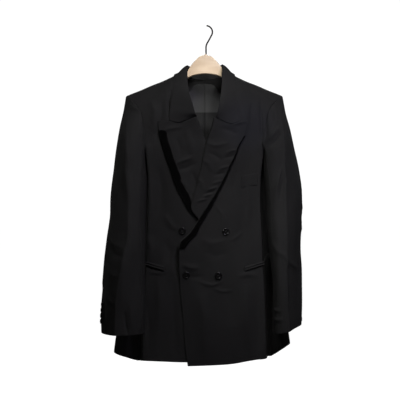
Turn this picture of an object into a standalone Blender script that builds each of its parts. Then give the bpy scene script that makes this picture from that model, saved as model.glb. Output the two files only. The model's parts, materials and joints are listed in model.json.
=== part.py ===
"""A black double-breasted dinner blazer with peak lapels, hung on a wooden hanger with a wire hook.

Sizes below are in millimetres. X runs across the jacket to the wearer's left, Y runs to its back and Z is up.
The origin is the highest point inside the hook, where a rail holds it. Every panel is a thin wall of cloth
whose outer face is worked out from the section tables, and neighbours stay a seam's gap apart.
"""

import math

import bpy
import numpy as np

MM = 0.001
WALL = 1.6
SEAM_GAP = 0.4
JACKET_X = -4.6  # the jacket's centre plane, seen from the hook
RIDGE_AT, RIDGE_Z, RIDGE_SLOPE = 80.0, -130.0, 0.448
RIDGE_DIP = 3.2  # the shoulder line is this much lower where the collar covers it
ROUND_DEPTH = 150.0  # how far below the shoulder ridge the fronts and back reach their full depth
CHEST_CROWN = 11.0
LAPEL_GAP, TRIM_GAP, TRIM_WALL = 1.5, 0.5, 0.9
LAPEL_OUT = LAPEL_GAP + WALL
FOLD_RADIUS = (LAPEL_OUT + WALL) / 2
LIFT_HIGH, LIFT_LOW = 7.4, 3.6  # the over-front's outer face stands this far off the under-front's
FRONT_SEAM_T = 0.7  # the front's side seam, past the pressed edge at 0 and before the back seam at 3
BACK_SEAM_T = 3.0
SLEEVE_CLEAR = 5.0


def table(names, *rows):
    """Named columns from rows of numbers."""
    return dict(zip(names.split(), np.array(rows, float).T))


# The trunk's sections. The crease is the pressed edge of the front face, and the side falls back from it.
TRUNK = table(
    "z crease_x crease_y mid_x mid_y side_x side_y back_x back_y",
    (-290, 155, -78, 161, -45, 171, 20, 158, 84),
    (-335, 150, -84, 154, -46, 168, 20, 160, 88),
    (-420, 143, -87, 144, -50, 166, 25, 163, 91),
    (-500, 145, -88, 147, -52, 171, 24, 163, 91),
    (-600, 150, -88, 156, -54, 186, 16, 166, 91),
    (-700, 155, -88, 166, -55, 203, 10, 172, 90),
    (-800, 158, -88, 178, -56, 222, 8, 181, 90),
    (-880, 160, -88, 187, -56, 234, 6, 188, 90),
)
HEM = table(
    "t left right",
    (-1.0, -877, -886),
    (-0.5, -877, -882),
    (0.0, -874, -868),
    (1.0, -875, -861),
    (2.0, -866, -843),
    (3.0, -864, -846),
    (4.0, -858, -858),
)
ARM_FRONT = table(
    "x z",
    (206.5, -188.8),
    (201, -192.5),
    (193, -199),
    (182, -209),
    (169, -227),
    (162, -248),
    (158.5, -275),
    (155, -298),
)
UNDERARM = table(
    "t z",
    (0, -316),
    (0.35, -325),
    (0.7, -331),
    (1, -334.5),
    (1.3, -336.2),
    (1.6, -336),
    (1.85, -333),
    (2.1, -328),
    (2.35, -321),
    (2.6, -311),
    (2.8, -302),
    (3, -292),
)
FOREARM, HINDARM = len(ARM_FRONT["x"]), len(ARM_FRONT["x"]) + len(UNDERARM["t"]) - 1
ARM_BACK = table(
    "x z",
    (158, -292),
    (159.5, -268),
    (165, -243),
    (175, -220),
    (190, -201),
    (201, -192.5),
    (206.5, -188.8),
)
SEAM_ROWS = (0.07, 0.15, 0.22, 0.30, 0.37, 0.455, 0.557, 0.668, 0.78, 0.892, 0.957, 1.0)
# The fronts' inner edges: neckline, then just inside the roll line, then the closing edge. Across is from the centre
# to the front's own side, so a front that passes the centre has a negative value.
INNER = table(
    "z over under",
    (-121.5, 60.5, 60.5),
    (-131, 58, 58),
    (-150, 55, 55),
    (-175, 52, 50),
    (-203, 46, 42),
    (-233, 38, 33),
    (-254, 32, 24),
    (-278, 24, 14),
    (-310, 10.5, 2),
    (-345, 0.5, -7.5),
    (-390, -8, -18.6),
    (-435, -20, -29),
    (-474, -28, -39),
    (-511, -11, -47.5),
    (-549, -36, -56),
    (-587, -64, -63.5),
    (-607, -69.5, -66),
    (-640, -64, -63),
    (-700, -61.5, -61),
    (-760, -55.5, -55.5),
    (-820, -51.5, -51.5),
    (-886, -43, -43),
)
INNER_ROWS = (-121.5, -127, -143, -163, -185, -212, -240, -262, -290, -318, -345)
INNER_LOW_ROWS = (-390, -435, -474, -511, -549, -587, -640, -700, -760, -820, -860)
# Each lapel from its gorge to its break: roll line, outer edge and the width of the dark trim along that edge.
OVER_LAPEL = table(
    "z roll outer trim",
    (-255, 25, 112, 4),
    (-278, 20.5, 108, 4),
    (-301, 10.8, 103.7, 4),
    (-325, 2.6, 90, 4.3),
    (-350, -3.8, 81, 5),
    (-375, -8.8, 69, 5.5),
    (-400, -14, 58.5, 6.4),
    (-425, -20, 46, 7),
    (-449, -28.6, 34, 8),
    (-469, -32.7, 24, 11),
    (-480, -35, 18.5, 12),
    (-490, -32.5, 11.5, 12.5),
    (-500, -25, 5.7, 13),
    (-511, -16, -1, 14),
    (-522, -22.5, -7.5, 14.5),
    (-536, -31.5, -15, 17),
    (-551, -41.4, -22.3, 20),
    (-568, -54.5, -39, 17),
    (-585, -65.5, -50.3, 16),
)
UNDER_LAPEL = table(
    "z roll outer trim",
    (-253, 20, 119.5, 20),
    (-276, 11, 118.5, 22),
    (-301, 1.5, 115, 20),
    (-325, -6, 108, 20),
    (-350, -12, 100.5, 20),
    (-380, -19.5, 89, 20),
    (-410, -26.5, 80, 23),
    (-436, -32.5, 69, 24),
    (-455, -37.5, 59, 22),
    (-470, -41.5, 51.5, 20),
    (-488, -46, 41.5, 16),
    (-511, -50.5, 21, 14),
    (-548, -58.5, -12, 14),
    (-585, -65.8, -50, 12),
)
# The top edge of each lapel: along the gorge seam, up the closed notch and out to the peak.
PEAK_OVER = table("x z", (20, -250), (33, -254.5), (71, -267), (92, -258.5), (112, -257))
PEAK_UNDER = table("x z", (18, -249), (34, -253), (70, -264), (90, -258.5), (119.5, -258))
# The collar, station by station from the centre back over the shoulder to the gorge. Side is 1 at the back, -1 in front.
COLLAR = table(
    "fold_x fold_under fold_y fold_z edge_x edge_z neck_x neck_under neck_z side",
    (0, 0, 44, -108, 0, -158, 0, 0, -137, 1),
    (20, 20, 41, -106.5, 27, -156, 22, 22, -136.5, 1),
    (36, 35, 29, -103.5, 51, -150, 41, 41, -132, 1),
    (45, 43.5, 10, -101.5, 69, -142, 54, 54, -127.5, 1),
    (46.5, 45, -8, -103, 79, -134, 60.3, 60.3, -125.2, 1),
    (47, 45, -28, -117, 81, -139, 60, 60, -127.5, -1),
    (45.5, 44, -47, -137, 80, -153, 57, 57, -139, -1),
    (44.5, 42.5, -66, -163, 80, -172, 54, 53, -157, -1),
    (42, 37.5, -84, -190, 84, -196, 49, 45.5, -186, -1),
    (37.5, 30.5, -94, -215, 88, -220, 43, 38.5, -212, -1),
    (32.5, 23.5, -99, -240, 91, -243, 36.5, 31, -237, -1),
)
RIDGE_STATION = 4  # this row of the collar crosses the shoulder line
COLLAR_EASE = (0, 0, 0, 0.8, 1.0, 1.9, 1.6, 0.6, 0, 0, 0)  # how much further off the body each row stands
HANGER = table(
    "x top bottom depth",
    (0, -77.5, -126.5, 9),
    (10, -78.8, -127, 9),
    (17, -82, -128, 9),
    (25, -89.6, -129.5, 9),
    (33, -97.6, -131.5, 9),
    (39, -105.5, -134, 9),
    (45, -114.5, -137, 9),
    (52, -126.5, -143, 9.5),
    (62, -132, -151, 10),
    (80, -140, -162, 12),
    (120, -155, -177, 15),
    (155, -170.7, -193, 17),
    (177, -181, -202, 17),
    (186, -187, -201, 12),
)
HANGER_X = -1.3 - JACKET_X  # the hanger's middle, seen from the jacket's centre plane
HOOK_RADIUS, HOOK_WIRE = 17.0, 1.9
FRONT_BUTTONS = table(
    "x z over gap",
    (-56.8, -540.9, 0, 0.35),
    (54.2, -542.2, 1, 0.35),
    (-46.6, -653.2, 1, 0.9),
    (35.1, -654.4, 1, 1.3),
)
BUTTON_RADIUS, BUTTON_HEIGHT = 9.5, 4.0
CUFF_BUTTON_RADIUS, CUFF_BUTTON_HEIGHT = 6.8, 3.4
CUFF_BUTTON_Z = (-726, -740, -754, -768)
POCKET_START, POCKET_CREASE, POCKET_END = (102.0, -637.6), -624.0, (1.35, -607.0)
JET_WIDTH, JET_GAP, JET_WALL = 5.0, 0.9, 1.1
WELT = table("x top bottom", (95, -399.3, -430), (108, -397.2, -428), (122, -394.9, -425.6), (136, -392.6, -423.5))
# Each sleeve's rings: middle, half width across and half depth, from above the armhole to the cuff.
SLEEVE_RIGHT = table(
    "z x y half_x half_y",
    (-180, 166, -6, 42, 72),
    (-230, 171, -12, 42, 76),
    (-290, 182, -20, 45, 80),
    (-335, 191, -27, 45, 79),
    (-375, 196, -36, 48, 75),
    (-436, 204, -52, 49, 70),
    (-500, 207, -64, 48, 66),
    (-560, 207, -76, 43.5, 64),
    (-625, 209, -84, 39.5, 62),
    (-685, 211, -90, 36.8, 59),
    (-745, 211.5, -92, 36.8, 56),
    (-825, 213, -93, 38.5, 53),
)
SLEEVE_LEFT = table(
    "z x y half_x half_y",
    (-180, 166, -6, 41, 72),
    (-230, 171, -12, 41, 76),
    (-290, 179, -24, 44, 80),
    (-335, 187, -34, 43.5, 79),
    (-375, 190, -46, 44.5, 74),
    (-436, 194.5, -70, 47.5, 68),
    (-500, 196.5, -92, 48, 62),
    (-560, 200.5, -112, 51, 56),
    (-625, 203.5, -124, 53.5, 50),
    (-685, 204.5, -130, 55, 44),
    (-745, 205.5, -133, 56.5, 39),
    (-825, 206, -134, 55.5, 36),
)
SLEEVE_ROWS = (0, 0.035, 0.085, 0.15, 0.23, 0.32, 0.42, 0.52, 0.62, 0.72, 0.82, 0.92, 1.0)
CUFF_Z = {1: (-801, -783), -1: (-796, -800)}  # inner edge and outer edge of each cuff
# Where each seam runs, in degrees round the sleeve from its outer side towards the front, at the armhole and at the cuff.
SEAM_TURN = table("armhole cuff", (126.5, 152), (248, 341), (486.5, 512))
SAG_RIGHT = 9.0  # the wearer's right side hangs this much further out at the hem


def smooth(xs, ys, x):
    """A curve through the points (xs, ys) that never overshoots them, read at x."""
    xs, ys = np.asarray(xs, float), np.asarray(ys, float)
    if xs[0] > xs[-1]:
        xs, ys = xs[::-1], ys[::-1]
    x = np.clip(x, xs[0], xs[-1])
    step = np.diff(xs)
    rise = np.diff(ys) / step
    slope = np.concatenate([rise[:1], np.zeros(len(rise) - 1), rise[-1:]])
    for i in range(1, len(rise)):
        if rise[i - 1] * rise[i] > 0:
            before, after = 2 * step[i] + step[i - 1], step[i] + 2 * step[i - 1]
            slope[i] = (before + after) / (before / rise[i - 1] + after / rise[i])
    i = np.clip(np.searchsorted(xs, x, side="right") - 1, 0, len(step) - 1)
    t = (x - xs[i]) / step[i]
    start = (1 + 2 * t) * (1 - t) ** 2 * ys[i] + t * (1 - t) ** 2 * step[i] * slope[i]
    return start + t * t * (3 - 2 * t) * ys[i + 1] + t * t * (t - 1) * step[i] * slope[i + 1]


def ease(value, start, end):
    """0 before start, 1 past end and smooth between."""
    t = np.clip((value - start) / (end - start), 0, 1)
    return t * t * (3 - 2 * t)


def unit(v):
    return v / np.maximum(np.linalg.norm(v, axis=-1, keepdims=True), 1e-9)


def ridge_z(x):
    """Height of the shoulder line above x, read straight on towards the neck."""
    return RIDGE_Z - RIDGE_SLOPE * (abs(x) - RIDGE_AT) - RIDGE_DIP * (1 - ease(abs(x), 76, 94))


def cap(x, z):
    """How much of the full depth the cloth has reached at a height below the shoulder ridge."""
    below = np.clip((ridge_z(x) - z) / ROUND_DEPTH, 0, 1)
    return (1 - (1 - below) ** 2.2) ** 0.62


def trunk(column, z):
    return smooth(TRUNK["z"], TRUNK[column], z)


def overlap_lift(x, z):
    """How far the over-front stands off the base surface, to pass over the under-front and its lapel."""
    height = LIFT_LOW + (LIFT_HIGH - LIFT_LOW) * ease(z, -655, -602)
    return height * (1 - ease(x, 72, 118)) * ease(-z, 205, 290)


def front_y(x, z, over=False):
    """Depth of the front face. It is crowned across the chest and rounds up to the shoulder ridge."""
    across = x / trunk("crease_x", z)
    depth = -trunk("crease_y", z) + CHEST_CROWN * (1 - across * across)
    return -depth * cap(x, z) - (overlap_lift(x, z) if over else 0)


def back_y(x, z):
    across = x / trunk("back_x", z)
    return (trunk("back_y", z) + 6 * (1 - across * across)) * cap(x, z)


def side_point(t, z):
    """A point round the trunk's side: t is 0 at the front's pressed edge, 2 at the widest point and 3 at the back seam."""
    knots = (0, 1, 2, 3)
    xs = [trunk(f"{name}_x", z) for name in ("crease", "mid", "side", "back")]
    ys = [trunk(f"{name}_y", z) for name in ("crease", "mid", "side", "back")]
    ys[0], ys[3] = front_y(xs[0], z), back_y(xs[3], z)
    return np.array([smooth(knots, xs, t), smooth(knots, ys, t), z])


def surface_point(kind, a, z, over=False):
    """A point on the trunk: a is x on the front or back, or t round the side."""
    if kind == "side":
        return side_point(a, z)
    return np.array([a, front_y(a, z, over) if kind == "front" else back_y(a, z), z])


def surface_normal(kind, a, z, over=False):
    """The outward direction there, from small steps along the surface."""
    step = 0.02 if kind == "side" else 1.0
    across = surface_point(kind, a + step, z, over) - surface_point(kind, a - step, z, over)
    up = surface_point(kind, a, z + 1.0, over) - surface_point(kind, a, z - 1.0, over)
    normal = unit(np.cross(across, up))
    if kind == "back":
        normal = -normal
    return normal


RIDGE_NORMAL = unit(np.array([RIDGE_SLOPE, 0.0, 1.0]))


def wall_faces(rows, columns):
    """Triangles of a thin wall: an outer grid, an inner grid and the rim that joins them."""
    count = rows * columns
    faces = []
    for i in range(rows - 1):
        for j in range(columns - 1):
            a, b = i * columns + j, i * columns + j + 1
            c, d = b + columns, a + columns
            faces += [(a, b, c), (a, c, d)]
            faces += [(count + a, count + c, count + b), (count + a, count + d, count + c)]
    rim = [j for j in range(columns)]
    rim += [i * columns + columns - 1 for i in range(1, rows)]
    rim += [(rows - 1) * columns + j for j in range(columns - 2, -1, -1)]
    rim += [i * columns for i in range(rows - 2, 0, -1)]
    for a, b in zip(rim, rim[1:] + rim[:1]):
        faces += [(a, count + a, count + b), (a, count + b, b)]
    return faces


def make_object(name, points, faces, material, shift=JACKET_X):
    """A mesh object from points in millimetres, turned outwards if its faces point in."""
    points = np.asarray(points, float) + np.array([shift, 0, 0])
    corners = points[np.asarray(faces)]
    if np.einsum("ij,ij->i", corners[:, 0], np.cross(corners[:, 1], corners[:, 2])).sum() < 0:
        faces = [face[::-1] for face in faces]
    mesh = bpy.data.meshes.new(name)
    mesh.from_pydata([tuple(p) for p in points * MM], [], [tuple(int(v) for v in f) for f in faces])
    mesh.update()
    mesh.shade_smooth()
    mesh.materials.append(material)
    item = bpy.data.objects.new(name, mesh)
    bpy.context.scene.collection.objects.link(item)
    return item


def make_wall(name, outer, inner, material, side=1):
    """A cloth piece from its outer and inner grids, mirrored to the wearer's right where side is -1."""
    rows, columns = outer.shape[:2]
    points = np.concatenate([outer.reshape(-1, 3), inner.reshape(-1, 3)])
    return make_object(name, points * np.array([side, 1, 1]), wall_faces(rows, columns), material)


def make_material(name, colour, roughness, metallic=0.0):
    material = bpy.data.materials.new(name)
    material.use_nodes = True
    shader = material.node_tree.nodes["Principled BSDF"]
    shader.inputs["Base Color"].default_value = (*colour, 1.0)
    shader.inputs["Roughness"].default_value = roughness
    shader.inputs["Metallic"].default_value = metallic
    material.diffuse_color = (*colour, 1.0)
    return material


def hem_z(t, side):
    return smooth(HEM["t"], HEM["right" if side > 0 else "left"], t)


def armhole(side):
    """The armhole's stations in order, from the shoulder tip down the front, under the arm and up the back."""
    stations = [("front", x, z) for x, z in zip(ARM_FRONT["x"], ARM_FRONT["z"])]
    stations += [("side", t, z) for t, z in zip(UNDERARM["t"], UNDERARM["z"])]
    stations += [("back", x, z) for x, z in list(zip(ARM_BACK["x"], ARM_BACK["z"]))[1:]]
    points = np.array([surface_point(*station) for station in stations])
    normals = np.array([surface_normal(*station) for station in stations])
    points[0] = points[-1] = (ARM_FRONT["x"][0], 0, ridge_z(ARM_FRONT["x"][0]))
    normals[0] = normals[-1] = RIDGE_NORMAL
    crease = len(ARM_FRONT["x"])
    normals[crease] = unit(surface_normal("front", stations[crease - 1][1], -312) + normals[crease])
    grid = sleeve_grid(side, points)
    sleeve_normals = grid_normals(grid)[0]
    inward = -unit(normals + sleeve_normals)
    reach = WALL / np.clip(-(inward * normals).sum(axis=1), 0.5, 1)
    away = unit(grid[1] - grid[0])
    tangent = unit(np.gradient(points, axis=0))
    back_into_body = np.cross(normals, tangent)
    centre = points.mean(axis=0)
    flip = np.sign((back_into_body * (points - centre)).sum(axis=1))
    apart = unit(away - back_into_body * flip[:, None]) * SEAM_GAP / 2
    return {
        "points": points,
        "inner": points + inward * reach[:, None],
        "apart": apart,
        "grid": grid,
    }


def sleeve_ring(side, z, angle):
    """A point on the hanging sleeve at a height: angle 0 is its outer side and 90 degrees its back."""
    rings = SLEEVE_RIGHT if side > 0 else SLEEVE_LEFT
    x, y, half_x, half_y = (smooth(rings["z"], rings[name], z) for name in ("x", "y", "half_x", "half_y"))
    return np.array([x + half_x * math.cos(angle), y + half_y * math.sin(angle), z])


def clear_of_trunk(point):
    """Moves a sleeve point out to where it just clears the trunk's side."""
    x, y, z = point
    crease = side_point(0, z)
    if y < crease[1] - 12:
        return point
    around = np.array([side_point(t, z)[:2] for t in np.linspace(0, 3, 13)])
    nearest = np.interp(max(y, crease[1]), around[:, 1], around[:, 0])
    short = nearest + SLEEVE_CLEAR - x
    push = (short + math.hypot(short, 7)) / 2
    return np.array([x + push * ease(y, crease[1] - 12, crease[1]), y, z])


def settle(points, side):
    """Carries the wearer's right side panel out near the hem, as it hangs in the photo."""
    if side > 0:
        return points
    out = ease(-points[..., 2], 690, 840) * ease(points[..., 0], 176, 224)
    return points + np.stack([SAG_RIGHT * out, 0 * out, 0 * out], axis=-1)


def sleeve_grid(side, loop):
    """Rows down the sleeve, each with one point for each station of the armhole."""
    centre_y, centre_z = 0.0, -262.0
    grid = np.empty((len(SLEEVE_ROWS), len(loop), 3))
    inner_cuff, outer_cuff = CUFF_Z[side]
    for j, start in enumerate(loop):
        angle = math.atan2((start[1] - centre_y) / 82, (start[2] - centre_z) / 73)
        if j in (0, len(loop) - 1):
            angle = 0.0
        offset = start - sleeve_ring(side, start[2], angle)
        turn = (-math.degrees(angle) - 126.5) % 360 + 126.5
        final = math.radians(-np.interp(turn, SEAM_TURN["armhole"], SEAM_TURN["cuff"]))
        cuff = inner_cuff + (outer_cuff - inner_cuff) * (1 + math.cos(final)) / 2
        angle = -math.radians(turn)
        for i, v in enumerate(SLEEVE_ROWS):
            z = start[2] + (cuff - start[2]) * v
            point = sleeve_ring(side, z, angle + (final - angle) * ease(v, 0.04, 0.96))
            fade = max(0.0, 1 - v / 0.2) ** 2.4
            if v > 0:
                point = clear_of_trunk(point + offset * np.array([fade, fade, 0]))
            else:
                point = start.copy()
            grid[i, j] = point
    return grid


def grid_normals(grid):
    """Directions square to a grid, pointing away from the middle of each row."""
    down = np.gradient(grid, axis=0)
    along = np.gradient(grid, axis=1)
    normals = unit(np.cross(along, down))
    away = ((grid - grid.mean(axis=1, keepdims=True)) * normals).sum()
    return normals if away > 0 else -normals


def front_grid(side, hole):
    """A front's outer and inner grids: columns to its pressed edge, then round to the side seam."""
    over = side > 0
    inner_column = INNER["over" if over else "under"]
    hem_in = hem_z(-1.0, side)
    inner_z = list(INNER_ROWS) + list(INNER_LOW_ROWS) + [hem_in]
    arm_rows = len(ARM_FRONT["x"])
    under = [(t, z) for t, z in zip(UNDERARM["t"], UNDERARM["z"]) if t <= FRONT_SEAM_T]
    seam_top, seam_hem = under[-1][1], hem_z(FRONT_SEAM_T, side)
    seam_t = FRONT_SEAM_T - SEAM_GAP / 2 / 36
    ends = [("front", x, z) for x, z in zip(ARM_FRONT["x"], ARM_FRONT["z"])]
    ends += [("side", t, z) for t, z in under]
    ends += [("side", seam_t, seam_top + (seam_hem - seam_top) * f) for f in SEAM_ROWS]
    columns, past = 9, 2
    outer = np.empty((len(ends), columns + past, 3))
    inner = np.empty_like(outer)
    for i, ((kind, a, z_end), z_in) in enumerate(zip(ends, inner_z)):
        x_in = smooth(INNER["z"], inner_column, z_in)
        crease_z = z_end if kind == "front" else z_end + 3 * (a / FRONT_SEAM_T)
        crease_x = a - 10 if kind == "front" else trunk("crease_x", crease_z)
        share = (crease_x - x_in) / ((a if kind == "front" else crease_x) - x_in)
        crease_z = z_in + (crease_z - z_in) * share
        for j in range(columns + past):
            if j < columns:
                part = j / (columns - 1)
                x = x_in + (crease_x - x_in) * part
                z = z_in + (crease_z - z_in) * part
                if i == len(ends) - 1:
                    z = hem_z(-1 + part, side)
                point = surface_point("front", x, z, over)
                if i == 0:
                    point = np.array([x, -SEAM_GAP / 2, ridge_z(x)])
                    normal = RIDGE_NORMAL
                else:
                    normal = surface_normal("front", x, z, over)
                reach = WALL
                if j == columns - 1 and kind == "side":
                    normal = unit(normal + surface_normal("side", 0.05, z))
                    reach = WALL * 1.3
            else:
                part = (j - columns + 1) / past
                z = crease_z + (z_end - crease_z) * part
                if kind == "front":
                    x = crease_x + (a - crease_x) * part
                    point = surface_point("front", x, z, over)
                    normal = surface_normal("front", x, z, over)
                    if i == 0:
                        point = np.array([x, -SEAM_GAP / 2, ridge_z(x)])
                        normal = RIDGE_NORMAL
                else:
                    point = surface_point("side", a * part, z)
                    normal = surface_normal("side", max(a * part, 0.03), z)
                    if a == 0:
                        normal = unit(surface_normal("front", trunk("crease_x", z), z) + normal)
                reach = WALL
            outer[i, j] = point
            inner[i, j] = point - normal * reach
    last = arm_rows + len(under)
    outer[:last, -1] = hole["points"][:last] - hole["apart"][:last]
    inner[:last, -1] = hole["inner"][:last] - hole["apart"][:last]
    # The row that ends at the pressed edge keeps its last columns close together there.
    for sheet in (outer, inner):
        start, end = sheet[arm_rows, columns - 2].copy(), sheet[arm_rows, -1].copy()
        reach = np.linalg.norm(end - start)
        for k in range(past):
            sheet[arm_rows, columns - 1 + k] = end + (start - end) * 1.4 * (past - k) / reach
        sheet[0, -1, 1] -= SEAM_GAP
    return outer, inner


def side_grid(side, hole):
    """The side body panel between the front's side seam and the back seam."""
    ts = [t for t in UNDERARM["t"] if t >= FRONT_SEAM_T]
    first = len(ARM_FRONT["x"]) + list(UNDERARM["t"]).index(FRONT_SEAM_T)
    rows = (0.0,) + SEAM_ROWS
    outer = np.empty((len(rows), len(ts), 3))
    inner = np.empty_like(outer)
    for j, t in enumerate(ts):
        gap = SEAM_GAP / 2 / 36
        held = t + gap if j == 0 else t - gap if j == len(ts) - 1 else t
        top = smooth(UNDERARM["t"], UNDERARM["z"], t)
        hem = hem_z(t, side)
        for i, f in enumerate(rows):
            z = top + (hem - top) * f
            point = surface_point("side", held, z)
            normal = surface_normal("side", min(t, 2.95), z)
            if t == BACK_SEAM_T:
                normal = unit(normal + surface_normal("back", trunk("back_x", z), z))
            outer[i, j] = point
            inner[i, j] = point - normal * WALL
    picked = slice(first, first + len(ts))
    outer[0] = hole["points"][picked] - hole["apart"][picked]
    inner[0] = hole["inner"][picked] - hole["apart"][picked]
    along = SEAM_GAP / 2
    for sheet in (outer, inner):
        sheet[0, 0, 1] += along
        sheet[0, -1, 1] -= along
    return outer, inner


def back_grid(side, hole):
    """Half of the back, from the centre seam to the armhole and the back seam."""
    arm = list(zip(ARM_BACK["x"], ARM_BACK["z"]))[::-1]
    seam_top, seam_hem = arm[-1][1], hem_z(BACK_SEAM_T, side)
    ends = [("arm", x, z) for x, z in arm]
    ends += [("seam", None, seam_top + (seam_hem - seam_top) * f) for f in SEAM_ROWS]
    centre_z = [-137, -150, -178, -213, -250, -288, -330]
    centre_z += [-330 + (hem_z(4.0, side) + 330) * f for f in SEAM_ROWS]
    parts = (0, 0.07, 0.14, 0.21, 0.27, 0.325, 0.43, 0.6, 0.8, 1)
    columns = len(parts)
    outer = np.empty((len(ends), columns, 3))
    inner = np.empty_like(outer)
    neck_x, neck_z = COLLAR["neck_x"][:5], COLLAR["neck_z"][:5]
    for i, ((kind, x_end, z_end), z_mid) in enumerate(zip(ends, centre_z)):
        if kind == "seam":
            x_end = trunk("back_x", z_end) - SEAM_GAP / 2
        for j, part in enumerate(parts):
            x = SEAM_GAP / 2 + (x_end - SEAM_GAP / 2) * part
            z = z_mid + (z_end - z_mid) * part
            if i == 0:
                x = SEAM_GAP / 2 + (x_end - SEAM_GAP / 2) * part
                z = min(smooth(neck_x, neck_z, x) if x < neck_x[-1] else ridge_z(x), ridge_z(x))
            elif i < len(arm):
                top = smooth(neck_x, neck_z, x) if x < neck_x[-1] else ridge_z(x)
                z = min(z, top - (0, 5, 14, 24, 34, 44, 54)[i])
            if i == len(ends) - 1:
                z = hem_z(4 - part, side)
            point = surface_point("back", x, z)
            normal = surface_normal("back", x, z)
            if i == 0 and x >= neck_x[-1]:
                point = np.array([x, SEAM_GAP / 2, ridge_z(x)])
                normal = RIDGE_NORMAL
            elif i == 0:
                point[1] = max(point[1], SEAM_GAP / 2)
            if kind == "seam" and j == columns - 1:
                normal = unit(normal + surface_normal("side", 2.95, z))
            outer[i, j] = point
            inner[i, j] = point - normal * WALL
    picked = len(hole["points"]) - 1 - np.arange(len(arm))
    outer[: len(arm), -1] = hole["points"][picked] - hole["apart"][picked]
    inner[: len(arm), -1] = hole["inner"][picked] - hole["apart"][picked]
    for sheet in (outer, inner):
        sheet[0, -1, 1] += SEAM_GAP
        sheet[len(arm) - 1, -1, 1] += SEAM_GAP / 2
        sheet[:, 0, 0] = SEAM_GAP / 2
    return outer, inner


def lapel_section(x_in, x_out, columns):
    """Columns across a lapel: round its roll, then flat to the outer edge. Each is (x, outer height, inner height, inner x)."""
    turn = []
    for degrees in (180, 135, 90, 45):
        a = math.radians(degrees)
        # The turn runs from the front's own wall, round the roll, to the lapel's face.
        turn.append(
            (
                x_in - FOLD_RADIUS * math.sin(a),
                LAPEL_OUT - FOLD_RADIUS - FOLD_RADIUS * -math.cos(a),
                LAPEL_OUT - FOLD_RADIUS + (FOLD_RADIUS - WALL) * math.cos(a),
                x_in - (FOLD_RADIUS - WALL) * math.sin(a),
            )
        )
    flat = []
    for k in range(columns):
        x = x_in + (x_out - x_in) * k / (columns - 1)
        flat.append((x, LAPEL_OUT, LAPEL_GAP, x))
    return turn, flat


def lapel_grid(side):
    """A lapel's grids. Its wall rolls out of the front's inner edge and lies back over the front."""
    over = side > 0
    rows = OVER_LAPEL if over else UNDER_LAPEL
    peak = PEAK_OVER if over else PEAK_UNDER
    columns = 7
    outer, inner = [], []
    for i, (z_row, roll, edge) in enumerate(zip(rows["z"], rows["roll"], rows["outer"])):
        turn, flat = lapel_section(roll + FOLD_RADIUS, edge, columns)
        falloff = max(0.0, 1 - (rows["z"][0] - z_row) / 90) ** 2
        line_o, line_i = [], []
        for x, out, under, x_under in turn + flat:
            top = smooth(peak["x"], peak["z"], x)
            z = z_row + (top - rows["z"][0]) * falloff
            line_o.append((x, front_y(x, z, over) - out, z))
            line_i.append((x_under, front_y(x_under, z, over) - under, z))
        outer.append(line_o)
        inner.append(line_i)
    outer, inner = np.array(outer), np.array(inner)
    # Nothing turns behind the front here: the roll starts level with the front's own wall.
    return outer[:, 1:], inner[:, 1:]


def trim_grid(side):
    """The dark strip on a lapel's outer edge, made from the lapel's face moved out."""
    over = side > 0
    rows = OVER_LAPEL if over else UNDER_LAPEL
    peak = PEAK_OVER if over else PEAK_UNDER
    outer, inner = [], []
    for z_row, roll, edge, width in zip(rows["z"], rows["roll"], rows["outer"], rows["trim"]):
        if z_row > -270:
            z_row = -284 if over else -280
            edge = smooth(rows["z"], rows["outer"], z_row)
        elif z_row > -300:
            continue
        falloff = max(0.0, 1 - (rows["z"][0] - z_row) / 90) ** 2
        start = max(edge - width, roll + FOLD_RADIUS)
        line_o, line_i = [], []
        for k in range(3):
            x = start + (edge - start) * k / 2
            top = smooth(peak["x"], peak["z"], x)
            z = z_row + (top - rows["z"][0]) * falloff
            face = front_y(x, z, over) - LAPEL_OUT - TRIM_GAP
            line_o.append((x, face - TRIM_WALL, z))
            line_i.append((x, face, z))
        outer.append(line_o)
        inner.append(line_i)
    return np.array(outer), np.array(inner)


def fall_row(k, side, count):
    """One station of the collar's fall: outer points from the fold to the outer edge."""
    over = side > 0
    fold = np.array(
        [
            COLLAR["fold_x" if over else "fold_under"][k],
            COLLAR["fold_y"][k],
            COLLAR["fold_z"][k],
        ]
    )
    behind = COLLAR["side"][k] > 0
    x, z = COLLAR["edge_x"][k], COLLAR["edge_z"][k]
    out = LAPEL_OUT + COLLAR_EASE[k]
    rest = back_y(x, z) + out if behind else front_y(x, z) - out
    crossing = k == RIDGE_STATION
    edge = np.array([x, -2.0 if crossing else rest, z])
    row = []
    for part in np.linspace(0, 1, count):
        p = fold + (edge - fold) * part
        p[2] += 3.5 * math.sin(math.pi * min(part * 1.4, 1)) * (1 - part) * ease(-k, -9, -4)
        held = ridge_z(p[0]) + out + 1
        if p[2] < held - 0.5 and not crossing:
            if behind:
                p[1] = max(p[1], back_y(p[0], p[2]) + out)
            else:
                p[1] = min(p[1], front_y(p[0], p[2]) - out)
        if crossing:
            p[2] = max(p[2], ridge_z(p[0]) + out)
        row.append(p)
    return row


def gorge_row(side, count):
    """The collar's front end, along the gorge seam and up to its corner."""
    peak = PEAK_OVER if side > 0 else PEAK_UNDER
    start = COLLAR["fold_x" if side > 0 else "fold_under"][-1] - 4.5
    end = 91.0 if side > 0 else 89.5
    row = []
    for part in np.linspace(0, 1, count):
        x = start + (end - start) * part
        z = smooth(peak["x"], peak["z"], x) + SEAM_GAP + 0.5
        row.append(np.array([x, front_y(x, z, side > 0) - LAPEL_OUT, z]))
    return row


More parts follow.
